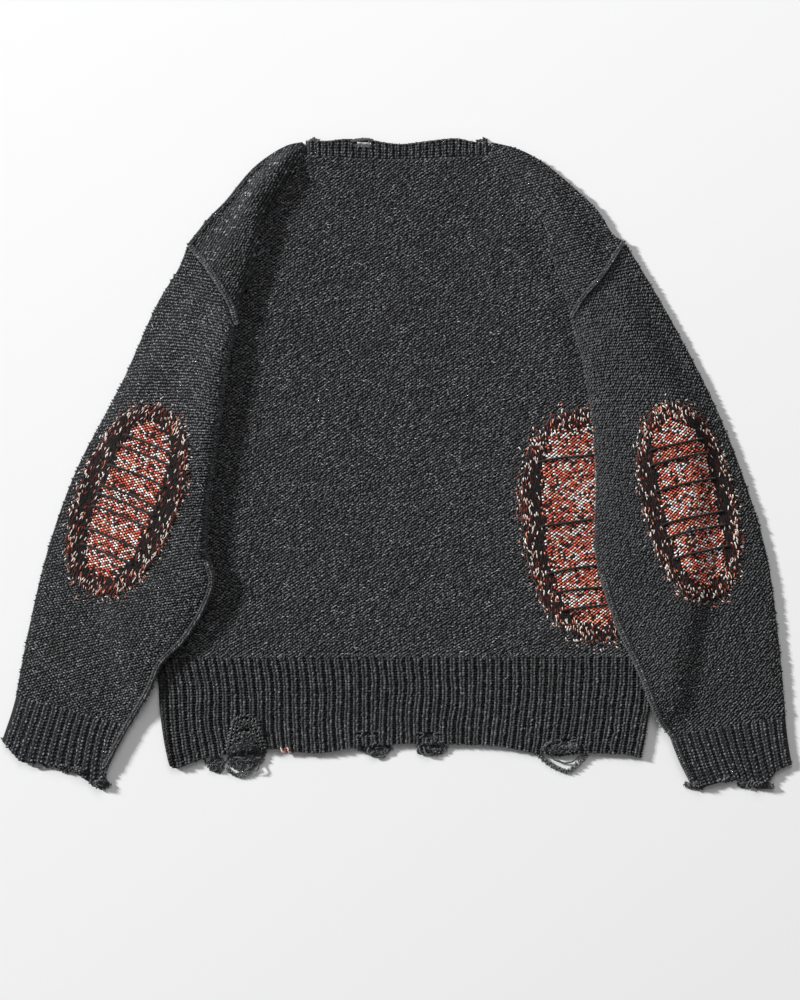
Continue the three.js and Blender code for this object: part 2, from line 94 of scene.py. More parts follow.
# Ground plan of each side, from the neck outwards and down, as [x, y] points of smooth curves. "puff" is
# the height of the shoulder's fold and the distance over which it rises, "roll" the sleeve's inner roll.
LEFT = {
    "ridge": [[-103, 341], [-126, 299], [-144, 274], [-154.5, 230], [-161, 201], [-171, 177],
              [-174, 151.5]],
    "shoulder": [[-103, 350.5], [-119, 347], [-154.5, 324], [-188, 285], [-204.5, 268.5], [-227, 240.5]],
    "seam": [[-174, 151.5], [-179.5, 172], [-192, 194], [-206, 215], [-227, 240.5]],
    "outer": [[-227, 240.5], [-237, 215], [-260, 177], [-301.5, 85], [-349, -5.5], [-380, -91.5],
              [-401.5, -180.5], [-415.5, -252.5]],
    "inner": [[-174, 151.5], [-182, 118.5], [-188, 80.5], [-196, 14], [-203.5, -41.5], [-205.5, -97],
              [-198, -128], [-210, -161], [-231.5, -193.5], [-254.5, -216.5], [-266.5, -243.5],
              [-291.5, -286]],
    "cuff": [[-316.5, -331], [-324, -351], [-356, -333], [-394, -325.5], [-408, -324.5], [-431, -300.5]],
    "cuffOuter": [[-415.5, -252.5], [-421, -272], [-431, -300.5]],
    "cuffInner": [[-291.5, -286], [-298, -298], [-316.5, -331]],
    "side": [[-232, 118], [-276, 52], [-284, -60], [-281, -150], [-271, RIB_LINE]],
    "hemSide": [[-268, RIB_LINE], [-260, -241.5], [-256, -290], [-248, -326.5]],
    "pleat": 44,
    "rise": (-0.12, 0.2),
    "fold": (0.1, 0.3),
    "lift": 0,
    "puff": (11.0, 9),
    "roll": 11.0,
}
RIGHT = {
    "ridge": [[103, 341], [128.5, 304.5], [159, 263], [166.5, 229.5], [180.5, 190.5], [189.5, 160]],
    "shoulder": [[103, 350.5], [128.5, 344], [153.5, 332], [198, 296], [220, 274], [236, 249],
                 [247.5, 242.5]],
    "seam": [[189.5, 160], [203.5, 183], [220, 201.5], [247.5, 242.5]],
    "outer": [[247.5, 242.5], [259, 224], [297, 160], [344, 69.5], [375.5, -8.5], [402.5, -97], [416.5, -197],
              [423.5, -274]],
    "inner": [[189.5, 160], [203.5, 104.5], [213, 40.5], [216.5, -13], [216.5, -100], [235, -168.5],
              [261, -225], [281.5, -276], [296, -296]],
    "cuff": [[319, -347], [327.5, -352], [357, -345], [373, -342.5], [396, -351], [415.5, -333],
             [431, -326.5]],
    "cuffOuter": [[423.5, -274], [427.5, -307], [431, -326.5]],
    "cuffInner": [[296, -296], [307, -324], [319, -347]],
    "side": [[252, 118], [289, 52], [297, -60], [294, -150], [284, RIB_LINE]],
    "hemSide": [[281, RIB_LINE], [275.5, -264.5], [270, -296], [265.5, -320]],
    "pleat": 36,
    "rise": (-0.05, 0.45),
    "fold": (0.4, 0.62),
    "lift": PATCH + GAP,
    "puff": (3.5, 44),
    "roll": 1.0,
}
BAND_TOP = [[-NECK_HALF, 352.5], [-76, 352], [-57, 354], [-28, 352.5], [3, 348.5], [35, 352], [65, 354.7],
            [84, 351], [NECK_HALF, 350.5]]
BAND_BASE = [[-NECK_HALF, BAND_END], [-55, 334], [0, 332.3], [55, 334.5], [NECK_HALF, BAND_END]]
HEM_BASE = [[-248, -326.5], [-242.5, -331], [-212, -321], [-140.5, -310], [-86, -314.5], [-43.5, -308],
            [3.5, -304.5], [53.5, -304.5], [112, -307], [151, -314.5], [210, -314.5], [252.5, -316.5],
            [265.5, -320]]
# Worn holes, as middle, width and height.
HEM_HOLES = [(-32, -293.5, 25, 6), (34.5, -295, 28, 6.5), (184, -303, 23, 7.5)]
NECK_HOLES = [(-37.5, 347.8, 22, 5.0)]
# Darned ovals: middle, half length and half width, tilt from upright in degrees, squareness, the width of the
# black border at the ends and at the sides, and how much the centre's yarn is brightened as painted light,
# most on the right sleeve's patch, which slopes away from the light.
PATCHES = {
    "left_sleeve": {"middle": (-292.5, -40), "half": (108, 56), "tilt": -21, "power": 2.2, "border": (20, 26),
                    "tone": 1.14},
    "right_sleeve": {"middle": (317, -42), "half": (110, 51), "tilt": 13, "power": 2.2, "border": (19, 21),
                     "tone": 1.5},
    "back": {"middle": (213.5, -66), "half": (127, 77), "tilt": 7, "power": 2.3, "border": (18, 24),
             "tone": 1.28},
}

# ---- Colours, linear ----
WOOL = np.array([0.066, 0.0686, 0.0740])
# The grounds behind the stitches and ribs are the same wool painted nearly black: painted shade in the gaps
# between stitches.
WOOL_GROUND_PAINTED_SHADE = np.array([0.007, 0.0073, 0.008])
RIB_GROUND_PAINTED_SHADE = np.array([0.019, 0.0198, 0.0215])
RUST = np.array([0.45, 0.086, 0.053])
SALMON = np.array([0.76, 0.28, 0.18])
CREAM = np.array([0.95, 0.84, 0.76])
MAROON = np.array([0.075, 0.012, 0.010])
BLACK_YARN = np.array([0.006, 0.004, 0.004])


def ease(x, low, high):
    """0 below low, 1 above high, and smooth between."""
    t = np.clip((np.asarray(x, float) - low) / (high - low), 0, 1)
    return t * t * (3 - 2 * t)


def mix(a, b, share):
    return a + (b - a) * share


class Curve:
    """A smooth open curve through a few points, read by share of its length."""

    def __init__(self, points, steps=40):
        p = np.array(points, float)
        p = np.vstack([2 * p[0] - p[1], p, 2 * p[-1] - p[-2]])
        t = np.linspace(0, 1, steps, endpoint=False)[:, None]
        pieces = []
        for a, b, c, d in zip(p, p[1:], p[2:], p[3:]):
            k0, k1, k2 = (max(np.linalg.norm(v), 1e-6) ** 0.5 for v in (b - a, c - b, d - c))
            start = ((b - a) / k0 - (c - a) / (k0 + k1) + (c - b) / k1) * k1
            end = ((c - b) / k1 - (d - b) / (k1 + k2) + (d - c) / k2) * k1
            cubic = 2 * b - 2 * c + start + end
            pieces.append(b + start * t + (3 * c - 3 * b - 2 * start - end) * t**2 + cubic * t**3)
        self.points = np.vstack([*pieces, p[-2:-1]])
        step = np.linalg.norm(np.diff(self.points, axis=0), axis=1)
        self.length = step.sum()
        self.share = np.concatenate([[0], np.cumsum(step)]) / self.length

    def at(self, share):
        share = np.asarray(share, float)
        return np.stack([np.interp(share, self.share, self.points[:, k]) for k in range(2)], axis=-1)

    def x_at(self, y):
        """X at height y, for a curve that goes steadily down."""
        return np.interp(-np.asarray(y, float), -self.points[:, 1], self.points[:, 0])


class Side:
    """One side's layout, shared by its shoulder, sleeve and cuff."""

    def __init__(self, plan):
        self.hand = math.copysign(1, plan["outer"][0][0])
        for name, value in plan.items():
            setattr(self, name, Curve(value) if isinstance(value, list) else value)
        self.edge = Curve([*plan["side"], *plan["hemSide"][1:]])
        top, below = self.edge.points[0], self.edge.points[1]
        self.edge_slope = (top[0] - below[0]) / (top[1] - below[1])

    def edge_x(self, y):
        """X of the body's edge, which goes on straight above its top."""
        top = self.edge.points[0]
        above = top[0] + np.maximum(y - top[1], 0) * self.edge_slope
        return np.where(y > top[1], above, self.edge.x_at(y))

    def seam_bow(self, q):
        """How far the armhole seam bows away from the straight line between its ends."""
        ends = self.seam.at([0, 1])
        return self.seam.at(q) - mix(ends[0], ends[1], np.asarray(q)[..., None])

    def shoulder_width(self, s):
        return np.linalg.norm(self.shoulder.at(s) - self.ridge.at(s), axis=-1)

    def shoulder_point(self, s, distance):
        """Share s down the ridge, then a distance out from it."""
        ridge = self.ridge.at(s)
        across = self.shoulder.at(s) - ridge
        width = np.linalg.norm(across, axis=-1)
        q = np.clip(distance / width, 0, 1)
        bow = self.seam_bow(q) * (s**3)[..., None]
        return ridge + across * (distance / width)[..., None] + bow

    def seam_height(self, q):
        """Share of the full height left at share q of the armhole seam."""
        return 1 - ease(q, (self.pleat + CREST) / self.shoulder_width(1.0), 1)

    def sleeve_point(self, s, q):
        """Share s down the sleeve and share q of its width out from its inner edge."""
        near_seam = np.maximum(0, 1 - s / SEAM_REACH) ** 2
        clear = np.array([self.hand * GAP, -GAP])
        straight = mix(self.inner.at(s), self.outer.at(s), q[..., None])
        return straight + (self.seam_bow(q) + clear) * near_seam[..., None]

    def sleeve_width(self, s):
        return np.linalg.norm(self.outer.at(s) - self.inner.at(s), axis=-1)

    def under_sleeve(self, s, q):
        """Height of the sleeve's underside: on the ground outside the body, and over it on the body."""
        point = self.sleeve_point(s, q)
        outside = (point[..., 0] - self.edge_x(point[..., 1])) * self.hand
        draped = 1 - ease(outside, LEAN, LEAN + DRAPE)
        share = mix(self.seam_height(q), draped, ease(s, 0, DRAPE_START))
        raised = 2 * LAYER + self.lift * ease(s, LIFT_FROM, LIFT_TO)
        return raised * (1 - ease(s, LOWER_FROM, 1)) * share


SIDES = {"left": Side(LEFT), "right": Side(RIGHT)}
HEM_EDGE = Curve(HEM_BASE)
BAND_EDGE = Curve(BAND_TOP)
BAND_SEAM = Curve(BAND_BASE)


def layout_origin():
    """The layout's origin in the frame: the neckband is centred on it, and the rib line gives its Y."""
    band_low, band_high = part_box("neckband")
    rib_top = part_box("back_hem_rib")[1].y * 1000
    return np.array([(band_low.x + band_high.x) * 500, rib_top - (RIB_LINE - GAP), 0])


ORIGIN = layout_origin()

# ---- Camera, light and floor ----
LENS = 85
SENSOR = 36
FRAME_HEIGHT = 1088  # what the picture's height shows at the garment
EYE_HEIGHT = FRAME_HEIGHT * LENS / SENSOR
LOOK_AT = np.array([3.3, -39.2, 8.0])


def add_camera():
    data = bpy.data.cameras.new("Camera")
    data.lens = LENS
    data.sensor_width = SENSOR
    camera = bpy.data.objects.new("Camera", data)
    camera.location = (LOOK_AT + ORIGIN + [0, 0, EYE_HEIGHT]) / 1000
    bpy.context.scene.collection.objects.link(camera)
    bpy.context.scene.camera = camera


def add_light(name, place, size, power):
    """A square softbox at a place in metres, aimed at the garment."""
    data = bpy.data.lights.new(name, "AREA")
    data.size = size
    data.energy = power
    light = bpy.data.objects.new(name, data)
    light.location = place
    light.rotation_mode = "QUATERNION"
    light.rotation_quaternion = (-Vector(place)).to_track_quat("-Z", "Y")
    bpy.context.scene.collection.objects.link(light)


def add_world(strength):
    world = bpy.data.worlds.new("Studio")
    world.use_nodes = True
    background = world.node_tree.nodes["Background"]
    background.inputs["Color"].default_value = (1, 1, 1, 1)
    background.inputs["Strength"].default_value = strength
    bpy.context.scene.world = world


def add_floor():
    size = 8.0
    mesh = bpy.data.meshes.new("floor")
    corners = [(-size, -size, 0), (size, -size, 0), (size, size, 0), (-size, size, 0)]
    mesh.from_pydata(corners, [], [(0, 1, 2, 3)])
    material, shader = new_material("floor", 0.7)
    shader.inputs["Base Color"].default_value = (0.86, 0.86, 0.865, 1)
    mesh.materials.append(material)
    floor = bpy.data.objects.new("floor", mesh)
    bpy.context.scene.collection.objects.link(floor)


# ---- Materials ----
def new_material(name, roughness):
    material = bpy.data.materials.new(name)
    material.use_nodes = True
    shader = material.node_tree.nodes["Principled BSDF"]
    shader.inputs["Roughness"].default_value = roughness
    shader.inputs["Specular IOR Level"].default_value = 0.25
    return material, shader


def link(tree, source, target):
    tree.links.new(source, target)


def noise(tree, scale, detail, coordinates=None, stretch=None):
    node = tree.nodes.new("ShaderNodeTexNoise")
    node.inputs["Scale"].default_value = scale
    node.inputs["Detail"].default_value = detail
    if coordinates is not None:
        mapping = tree.nodes.new("ShaderNodeMapping")
        mapping.inputs["Scale"].default_value = stretch or (1, 1, 1)
        link(tree, coordinates, mapping.inputs["Vector"])
        link(tree, mapping.outputs["Vector"], node.inputs["Vector"])
    return node


def math_node(tree, operation, a, b=None):
    node = tree.nodes.new("ShaderNodeMath")
    node.operation = operation
    for socket, value in zip(node.inputs, (a, b)):
        if value is None:
            continue
        if isinstance(value, (int, float)):
            socket.default_value = value
        else:
            link(tree, value, socket)
    return node.outputs[0]


def times(tree, colour, factor):
    node = tree.nodes.new("ShaderNodeMix")
    node.data_type = "RGBA"
    node.blend_type = "MULTIPLY"
    node.inputs["Factor"].default_value = 1
    link(tree, colour, node.inputs["A"])
    link(tree, factor, node.inputs["B"])
    return node.outputs["Result"]


def spread(tree, value, low, high):
    """A value from 0 to 1 spread over a range."""
    node = tree.nodes.new("ShaderNodeMapRange")
    node.inputs["To Min"].default_value = low
    node.inputs["To Max"].default_value = high
    link(tree, value, node.inputs["Value"])
    return node.outputs["Result"]


def bump(tree, shader, height, strength, distance):
    node = tree.nodes.new("ShaderNodeBump")
    node.inputs["Strength"].default_value = strength
    node.inputs["Distance"].default_value = distance
    link(tree, height, node.inputs["Height"])
    link(tree, node.outputs["Normal"], shader.inputs["Normal"])


def yarn_material(name, sheen, mottle):
    """Yarn: each stitch's own colour, broken up by fibres and by slow changes in the wool."""
    material, shader = new_material(name, 0.92)
    tree = material.node_tree
    shader.inputs["Sheen Weight"].default_value = sheen
    shader.inputs["Sheen Roughness"].default_value = 0.6
    place = tree.nodes.new("ShaderNodeTexCoord").outputs["Object"]
    tint = tree.nodes.new("ShaderNodeVertexColor")
    tint.layer_name = "Tint"
    fibres = noise(tree, 900, 3, place).outputs["Fac"]
    clouds = noise(tree, 22, 4, place, (1, 1.6, 1)).outputs["Fac"]
    shade = math_node(tree, "MULTIPLY", spread(tree, fibres, 1 - mottle, 1 + mottle),
                      spread(tree, clouds, 0.8, 1.2))
    link(tree, times(tree, tint.outputs["Color"], shade), shader.inputs["Base Color"])
    bump(tree, shader, fibres, 0.5, 0.0004)
    return material


def knit_ground_material():
    """The cloth behind the stitches: cords of purl bumps leaning across it, drawn by the weave's UV map, with
    painted shade in the grooves between the cords and painted light on them.
    """
    material, shader = new_material("knit_ground", 0.95)
    tree = material.node_tree
    shader.inputs["Sheen Weight"].default_value = 0.15
    uv = tree.nodes.new("ShaderNodeUVMap")
    uv.uv_map = "Weave"
    split = tree.nodes.new("ShaderNodeSeparateXYZ")
    link(tree, uv.outputs["UV"], split.inputs["Vector"])
    turns_x = math_node(tree, "MULTIPLY", split.outputs["X"], 2 * math.pi * 1000 / STITCH)
    turns_y = math_node(tree, "MULTIPLY", split.outputs["Y"], math.pi * 1000 / HALF_ROW)
    cords = math_node(tree, "SINE", math_node(tree, "SUBTRACT", turns_x, turns_y))
    beads = math_node(tree, "SINE", math_node(tree, "ADD", turns_x, turns_y))
    relief = math_node(tree, "ADD", math_node(tree, "MULTIPLY", cords, 0.36),
                       math_node(tree, "MULTIPLY", beads, 0.14))
    height = math_node(tree, "ADD", relief, 0.5)
    tint = tree.nodes.new("ShaderNodeVertexColor")
    tint.layer_name = "Tint"
    place = tree.nodes.new("ShaderNodeTexCoord").outputs["Object"]
    clouds = noise(tree, 22, 4, place).outputs["Fac"]
    fibres = noise(tree, 700, 3, place).outputs["Fac"]
    # The colour follows the relief's height: painted shade in the grooves and painted light on the cords.
    shade = math_node(tree, "MULTIPLY", spread(tree, height, 0.25, 1.5), spread(tree, clouds, 0.75, 1.25))
    shade = math_node(tree, "MULTIPLY", shade, spread(tree, fibres, 0.7, 1.3))
    link(tree, times(tree, tint.outputs["Color"], shade), shader.inputs["Base Color"])
    bump(tree, shader, height, 0.8, 0.0008)
    return material


# ---- Meshes ----
def add_mesh(name, points, faces, material, tint, uv=None, wall=0.0):
    """A piece from points in the layout, lists of faces by their number of corners, and a tint per point."""
    mesh = bpy.data.meshes.new(name)
    corners = np.concatenate([f.ravel() for f in faces]).astype(np.int32)
    sizes = np.concatenate([np.full(len(f), f.shape[1]) for f in faces])
    starts = np.concatenate([[0], np.cumsum(sizes)[:-1]]).astype(np.int32)
    mesh.vertices.add(len(points))
    mesh.vertices.foreach_set("co", ((points + ORIGIN) / 1000).astype(np.float32).ravel())
    mesh.loops.add(len(corners))
    mesh.loops.foreach_set("vertex_index", corners)
    mesh.polygons.add(len(sizes))
    mesh.polygons.foreach_set("loop_start", starts)
    mesh.polygons.foreach_set("use_smooth", np.ones(len(sizes), bool))
    colours = np.ones((len(points), 4), np.float32)
    colours[:, :3] = tint
    mesh.color_attributes.new("Tint", "FLOAT_COLOR", "POINT").data.foreach_set("color", colours.ravel())
    if uv is not None:
        layer = mesh.uv_layers.new(name="Weave")
        layer.data.foreach_set("uv", (uv / 1000).astype(np.float32)[corners].ravel())
    mesh.update(calc_edges=True)
    mesh.materials.append(material)
    piece = bpy.data.objects.new(name, mesh)
    bpy.context.scene.collection.objects.link(piece)
    if wall:
        solidify = piece.modifiers.new("Cloth", "SOLIDIFY")
        solidify.thickness = wall / 1000
        solidify.offset = 0
    return piece


def quads(index):
    """The faces between neighbouring entries of a grid of point numbers."""
    return np.stack([index[:-1, :-1], index[:-1, 1:], index[1:, 1:], index[1:, :-1]], axis=-1).reshape(-1, 4)


def grid_index(rows, columns, closed=False):
    index = np.arange(rows * columns).reshape(rows, columns)
    return np.hstack([index, index[:, :1]]) if closed else index


def grid_lengths(grid):
    """For each grid point, the distance along its row and down its middle column."""
    across = np.cumsum(np.linalg.norm(np.diff(grid, axis=1, prepend=grid[:, :1]), axis=-1), axis=1)
    middle = grid[:, grid.shape[1] // 2]
    down = np.cumsum(np.linalg.norm(np.diff(middle, axis=0, prepend=middle[:1]), axis=-1))
    return np.stack([across, np.broadcast_to(down[:, None], across.shape)], axis=-1)


def add_sheet(name, grid, faces, material, tint, wall):
    """A cloth piece from the grid of its middle surface."""
    weave = grid_lengths(grid).reshape(-1, 2)
    return add_mesh(name, grid.reshape(-1, 3), [faces], material, tint, weave, wall)


def unit(v):
    return v / np.maximum(np.linalg.norm(v, axis=-1, keepdims=True), 1e-9)


# ---- Stitches ----
# A lump's foot corners, by half its length and half its width, and its ridge's half length.
STROKE = (((-0.9, -1), (0.9, -1), (0.9, 1), (-0.9, 1)), 0.5)
BEAD = (((-1, -0.2), (0.2, -1), (1, 0.2), (-0.2, 1)), 0.24)
PLUMP = (((-1, -0.45), (0.55, -1), (1, 0.45), (-0.55, 1)), 0.3)


class Stitches:
    """Closed lumps of yarn, six points each: a foot with four corners and a ridge over it."""

    def __init__(self):
        self.points = []
        self.tints = []

    def add(self, place, along, normal, length, width, height, tint, shape=STROKE, sink=0.5):
        count = len(place)
        if count == 0:
            return
        column = lambda value: np.broadcast_to(np.asarray(value, float).reshape(-1, 1), (count, 1))
        side = unit(np.cross(normal, along))
        along = unit(np.cross(side, normal))
        reach = along * column(length) / 2
        breadth = side * column(width) / 2
        foot = place - normal * column(sink)
        top = place + normal * column(height)
        outline, ridge_share = shape
        corners = [foot + a * reach + b * breadth for a, b in outline]
        ridge = [top - reach * ridge_share, top + reach * ridge_share]
        self.points.append(np.stack([*corners, *ridge], axis=1).reshape(-1, 3))
        self.tints.append(np.repeat(np.broadcast_to(tint, (count, 3)), 6, axis=0))

    def piece(self, name, material):
        points = np.concatenate(self.points)
        first = np.arange(0, len(points), 6)[:, None]
        four = np.array([[3, 2, 1, 0], [0, 1, 5, 4], [2, 3, 4, 5]])
        three = np.array([[1, 2, 5], [3, 0, 4]])
        faces = [(first[:, None] + four).reshape(-1, 4), (first[:, None] + three).reshape(-1, 3)]
        return add_mesh(name, points, faces, material, np.concatenate(self.tints))


class Surface:
    """A surface given as rows of points, read in mm across from a middle column, and down."""

    STEP = 1.0

    def __init__(self, grid, middle):
        along = np.cumsum(np.linalg.norm(np.diff(grid, axis=1, prepend=grid[:, :1]), axis=-1), axis=1)
        across = along - along[:, middle : middle + 1]
        step = np.linalg.norm(np.diff(grid[:, middle], axis=0, prepend=grid[:1, middle]), axis=-1)
        self.down = np.cumsum(step)
        self.start = across.min()
        marks = np.arange(self.start, across.max() + self.STEP, self.STEP)
        self.table = np.array([[np.interp(marks, across[r], row[:, k]) for k in range(3)]
                               for r, row in enumerate(grid)]).transpose(0, 2, 1)
        self.low, self.high = across[:, 0], across[:, -1]

    def point(self, across, down):
        rows, columns = self.table.shape[:2]
        r = np.clip(np.interp(down, self.down, np.arange(rows)), 0, rows - 1.001)
        c = np.clip((across - self.start) / self.STEP, 0, columns - 1.001)
        r0, c0 = r.astype(int), c.astype(int)
        fr, fc = (r - r0)[:, None], (c - c0)[:, None]
        upper = mix(self.table[r0, c0], self.table[r0, c0 + 1], fc)
        lower = mix(self.table[r0 + 1, c0], self.table[r0 + 1, c0 + 1], fc)
        return mix(upper, lower, fr)

    def spots(self, across, down):
        """The outer side's places, with their directions across and up and their normals."""
        low, high = np.interp(down, self.down, self.low), np.interp(down, self.down, self.high)
        on_cloth = (across > low) & (across < high) & (down > 0) & (down < self.down[-1])
        across, down = across[on_cloth], down[on_cloth]
        right = unit(self.point(across + 2, down) - self.point(across - 2, down))
        up = unit(self.point(across, down - 2) - self.point(across, down + 2))
        normal = unit(np.cross(right, up))
        place = self.point(across, down) + normal * CLOTH / 2
        found = {"place": place, "across": right, "up": unit(np.cross(normal, right)), "normal": normal}
        clear = place[:, 2] > EDGE_LOW
        return {key: value[clear] for key, value in found.items()}


def brick_lattice(low, high, waver=1.2):
    """Places of purl bumps: rows half a row's height apart, each half a stitch along from the last."""
    rows = np.arange(math.floor(low[1] / HALF_ROW), math.ceil(high[1] / HALF_ROW) + 1)
    columns = np.arange(math.floor(low[0] / STITCH) - 1, math.ceil(high[0] / STITCH) + 1)
    j, i = np.meshgrid(rows, columns, indexing="ij")
    x, y = ((i + 0.5 * (j % 2)) * STITCH).ravel(), (j * HALF_ROW).ravel()
    return x + waver * slow_waves(x, y, 5, 70), y + waver * slow_waves(x, y, 6, 70)


def slow_waves(x, y, seed, reach):
    """Gentle seeded waves from -1 to 1, about reach mm from crest to crest."""
    rng = np.random.default_rng(seed)
    total = np.zeros(np.shape(x))
    for _ in range(5):
        angle, phase = rng.uniform(0, 2 * math.pi, 2)
        pace = 2 * math.pi / (reach * rng.uniform(0.7, 1.6))
        total += np.sin((x * math.cos(angle) + y * math.sin(angle)) * pace + phase)
    return total / 5


def melange(count, rng, place, depth=1.0):
    """A tint for each stitch: charcoal of changing depth. The second result marks the light flecks."""
    x, y = place[:, 0], place[:, 1]
    clouds = 0.16 * slow_waves(x, y, 3, 45) + 0.2 * slow_waves(x, y, 4, 13)
    tone = np.exp(0.58 * rng.standard_normal(count) + clouds)
    fleck = rng.random(count) < 0.05 + 0.11 * slow_waves(x, y, 8, 24)
    tone = np.where(fleck, rng.uniform(2.0, 4.8, count), np.clip(tone, 0.2, 3.0))
    return WOOL * mix(1.15, tone, depth)[:, None], fleck


def knit(stitches, spots, rng, tone=1.0, depth=1.0):
    """Purl bumps over the spots: beads that lean up to the right, and longer light flecks along the rows."""
    count = len(spots["place"])
    tint, fleck = melange(count, rng, spots["place"], depth)
    angle = CORD_ANGLE + rng.normal(0, 0.3, count)
    angle = np.where(fleck, angle - 0.42, angle)[:, None]
    along = spots["across"] * np.cos(angle) + spots["up"] * np.sin(angle)
    place = spots["place"] + rng.normal(0, 0.36, (count, 3)) * [1, 1, 0.6]
    length = np.where(fleck, 5.2, 3.7) * rng.uniform(0.82, 1.18, count)
    width = np.where(fleck, 1.7, 2.6) * rng.uniform(0.8, 1.2, count)
    height = np.where(fleck, 1.9, 1.6) * rng.uniform(0.7, 1.3, count)
    stitches.add(place, along, spots["normal"], length, width, height, tint * tone, PLUMP)


# ---- The body ----
# Faint ridges of stitching under the neck: X, and the Y of their upper and lower ends.
LABEL_MARKS = [(-27.2, 331, 311), (31.6, 331, 314)]
MARK_HEIGHT = 0.7
MARK_WIDTH = 1.6
# The back stands a little full beside the right sleeve and drops to it along this line, from the neck down.
FULLNESS_EDGE = Curve([(57.7, 289.4), (106.6, 276.4), (139.3, 243.7), (163.2, 194.8), (179.5, 145.8),
                       (193.7, 89.2), (204.5, 42.4)])
FULLNESS = 2.6  # its height
FULLNESS_DROP = 8  # half the width over which it drops
FULLNESS_REACH = 60  # how far it fades out across the back


def back_height(x, y):
    """Top of the back panel: slow waves, fading out where the sleeves and the patch lie on it."""
    inner = 1 - ease(np.abs(x), 105, 150)
    waves = 0.5 + 0.5 * slow_waves(x, y, 21, 120)
    height = BACK_TOP + 1.1 * inner * waves * ease(y, RIB_LINE, RIB_LINE + 40)
    for mark, upper, lower in LABEL_MARKS:
        on_line = ease(y, lower, lower + 2) * (1 - ease(y, upper - 2, upper))
        height = height + MARK_HEIGHT * on_line * np.exp(-(((x - mark) / MARK_WIDTH) ** 2))
    return height + back_fullness(x, y)


def back_fullness(x, y):
    """Height of the full part of the back beside the right sleeve."""
    line = FULLNESS_EDGE.points[::8]
    height = np.zeros(np.shape(x))
    near = (x > 0) & (y > 0)
    place = np.stack([x[near], y[near]], axis=-1)
    away = np.linalg.norm(place[:, None] - line[None], axis=-1)
    nearest = away.argmin(axis=1)
    along = np.gradient(line, axis=0)[nearest]
    offset = place - line[nearest]
    outside = (offset[:, 1] * along[:, 0] - offset[:, 0] * along[:, 1]) / np.linalg.norm(along, axis=1)
    ends = ease(nearest / (len(line) - 1), 0, 0.35) * (1 - ease(nearest / (len(line) - 1), 0.8, 1))
    fading = np.exp(-((np.maximum(-outside, 0) / FULLNESS_REACH) ** 2))
    hill = 0.5 * (1 - np.tanh(outside / FULLNESS_DROP)) * fading
    height[near] = FULLNESS * hill * ends * (1 - ease(y[near], 270, 300))
    return height


def fold_profile(side, s):
    """The shoulder's middle line at row s: its distances from the ridge and its heights."""
    width = side.shoulder_width(s)
    depth = max(PLEAT_LEAST, side.pleat * s**PLEAT_POWER)
    arc = np.radians(np.linspace(-90, 90, 9))
    floor, upper = BACK_FLOOR, BACK_FLOOR + 2 * LAYER
    valley = -VALLEY * float(ease(s, 0, 0.1))
    folded = [(d, floor) for d in np.linspace(valley, depth, 10)]
    folded += [(depth + TURN * math.cos(a), floor + TURN + TURN * math.sin(a)) for a in arc]
    folded += [(d, floor + LAYER) for d in np.linspace(depth, NOSE, 8)]
    folded += [(NOSE - TURN * math.cos(a), floor + 3 * TURN + TURN * math.sin(a)) for a in arc]
    folded = np.array(folded)
    share = np.linspace(0, 1, len(folded))
    risen = float(ease(s, *side.rise))
    ramp = np.stack([valley + (NOSE + 1 - valley) * share,
                     floor + 2 * LAYER * risen * ease(share, 0.1, 1)], axis=1)
    lower = mix(ramp, folded, float(ease(s, *side.fold)))
    crest = min(side.pleat + CREST, width * CREST_MOST)
    distance = mix(max(lower[-1, 0] + 0.4, NOSE), width, np.linspace(0, 1, 22) ** 1.15)
    falling = 1 - ease(distance / width, crest / width, 1)
    rise, reach = side.puff
    puff = rise * (1 - np.exp(2 * (NOSE - distance) / reach)) * falling
    height = floor + (upper - floor) * risen * falling + puff * risen * ease(s, 0.02, 0.2)
    return np.vstack([lower, np.stack([distance, height], axis=1)])


SHOULDER_ROWS = 40
BACK_COLUMNS = 110
LOWER_ROWS = 76


def shoulder_grid(side):
    rows = []
    for s in np.linspace(0, 1, SHOULDER_ROWS + 1):
        profile = fold_profile(side, s)
        plan = side.shoulder_point(np.full(len(profile), s), profile[:, 0])
        rows.append(np.column_stack([plan, profile[:, 1]]))
    return np.array(rows)


def back_grid(left_flap, right_flap):
    """The back's main face, from the neckline down between the shoulders' valleys to the rib line."""
    q = np.linspace(0, 1, BACK_COLUMNS)[:, None]
    neck = BAND_SEAM.at(q[:, 0]) - [0, GAP]
    upper_ends = [(left_flap[r, 0, :2], right_flap[r, 0, :2]) for r in range(SHOULDER_ROWS + 1)]
    bow = neck - mix(*upper_ends[0], q)
    rows = []
    for r, (a, b) in enumerate(upper_ends):
        rows.append(mix(a, b, q) + bow * (1 - r / SHOULDER_ROWS) ** 2)
    edges = []
    for flap, side in ((left_flap, SIDES["left"]), (right_flap, SIDES["right"])):
        valley = flap[-1, 0, :2]
        edges.append(Curve([valley, mix(valley, side.side.at(0), 0.5), *side.side.points[::20]]))
    for share in np.linspace(0, 1, LOWER_ROWS + 1)[1:]:
        rows.append(mix(edges[0].at(share), edges[1].at(share), q))
    plan = np.array(rows)
    height = back_height(plan[..., 0], plan[..., 1]) - CLOTH / 2
    return np.dstack([plan, height])


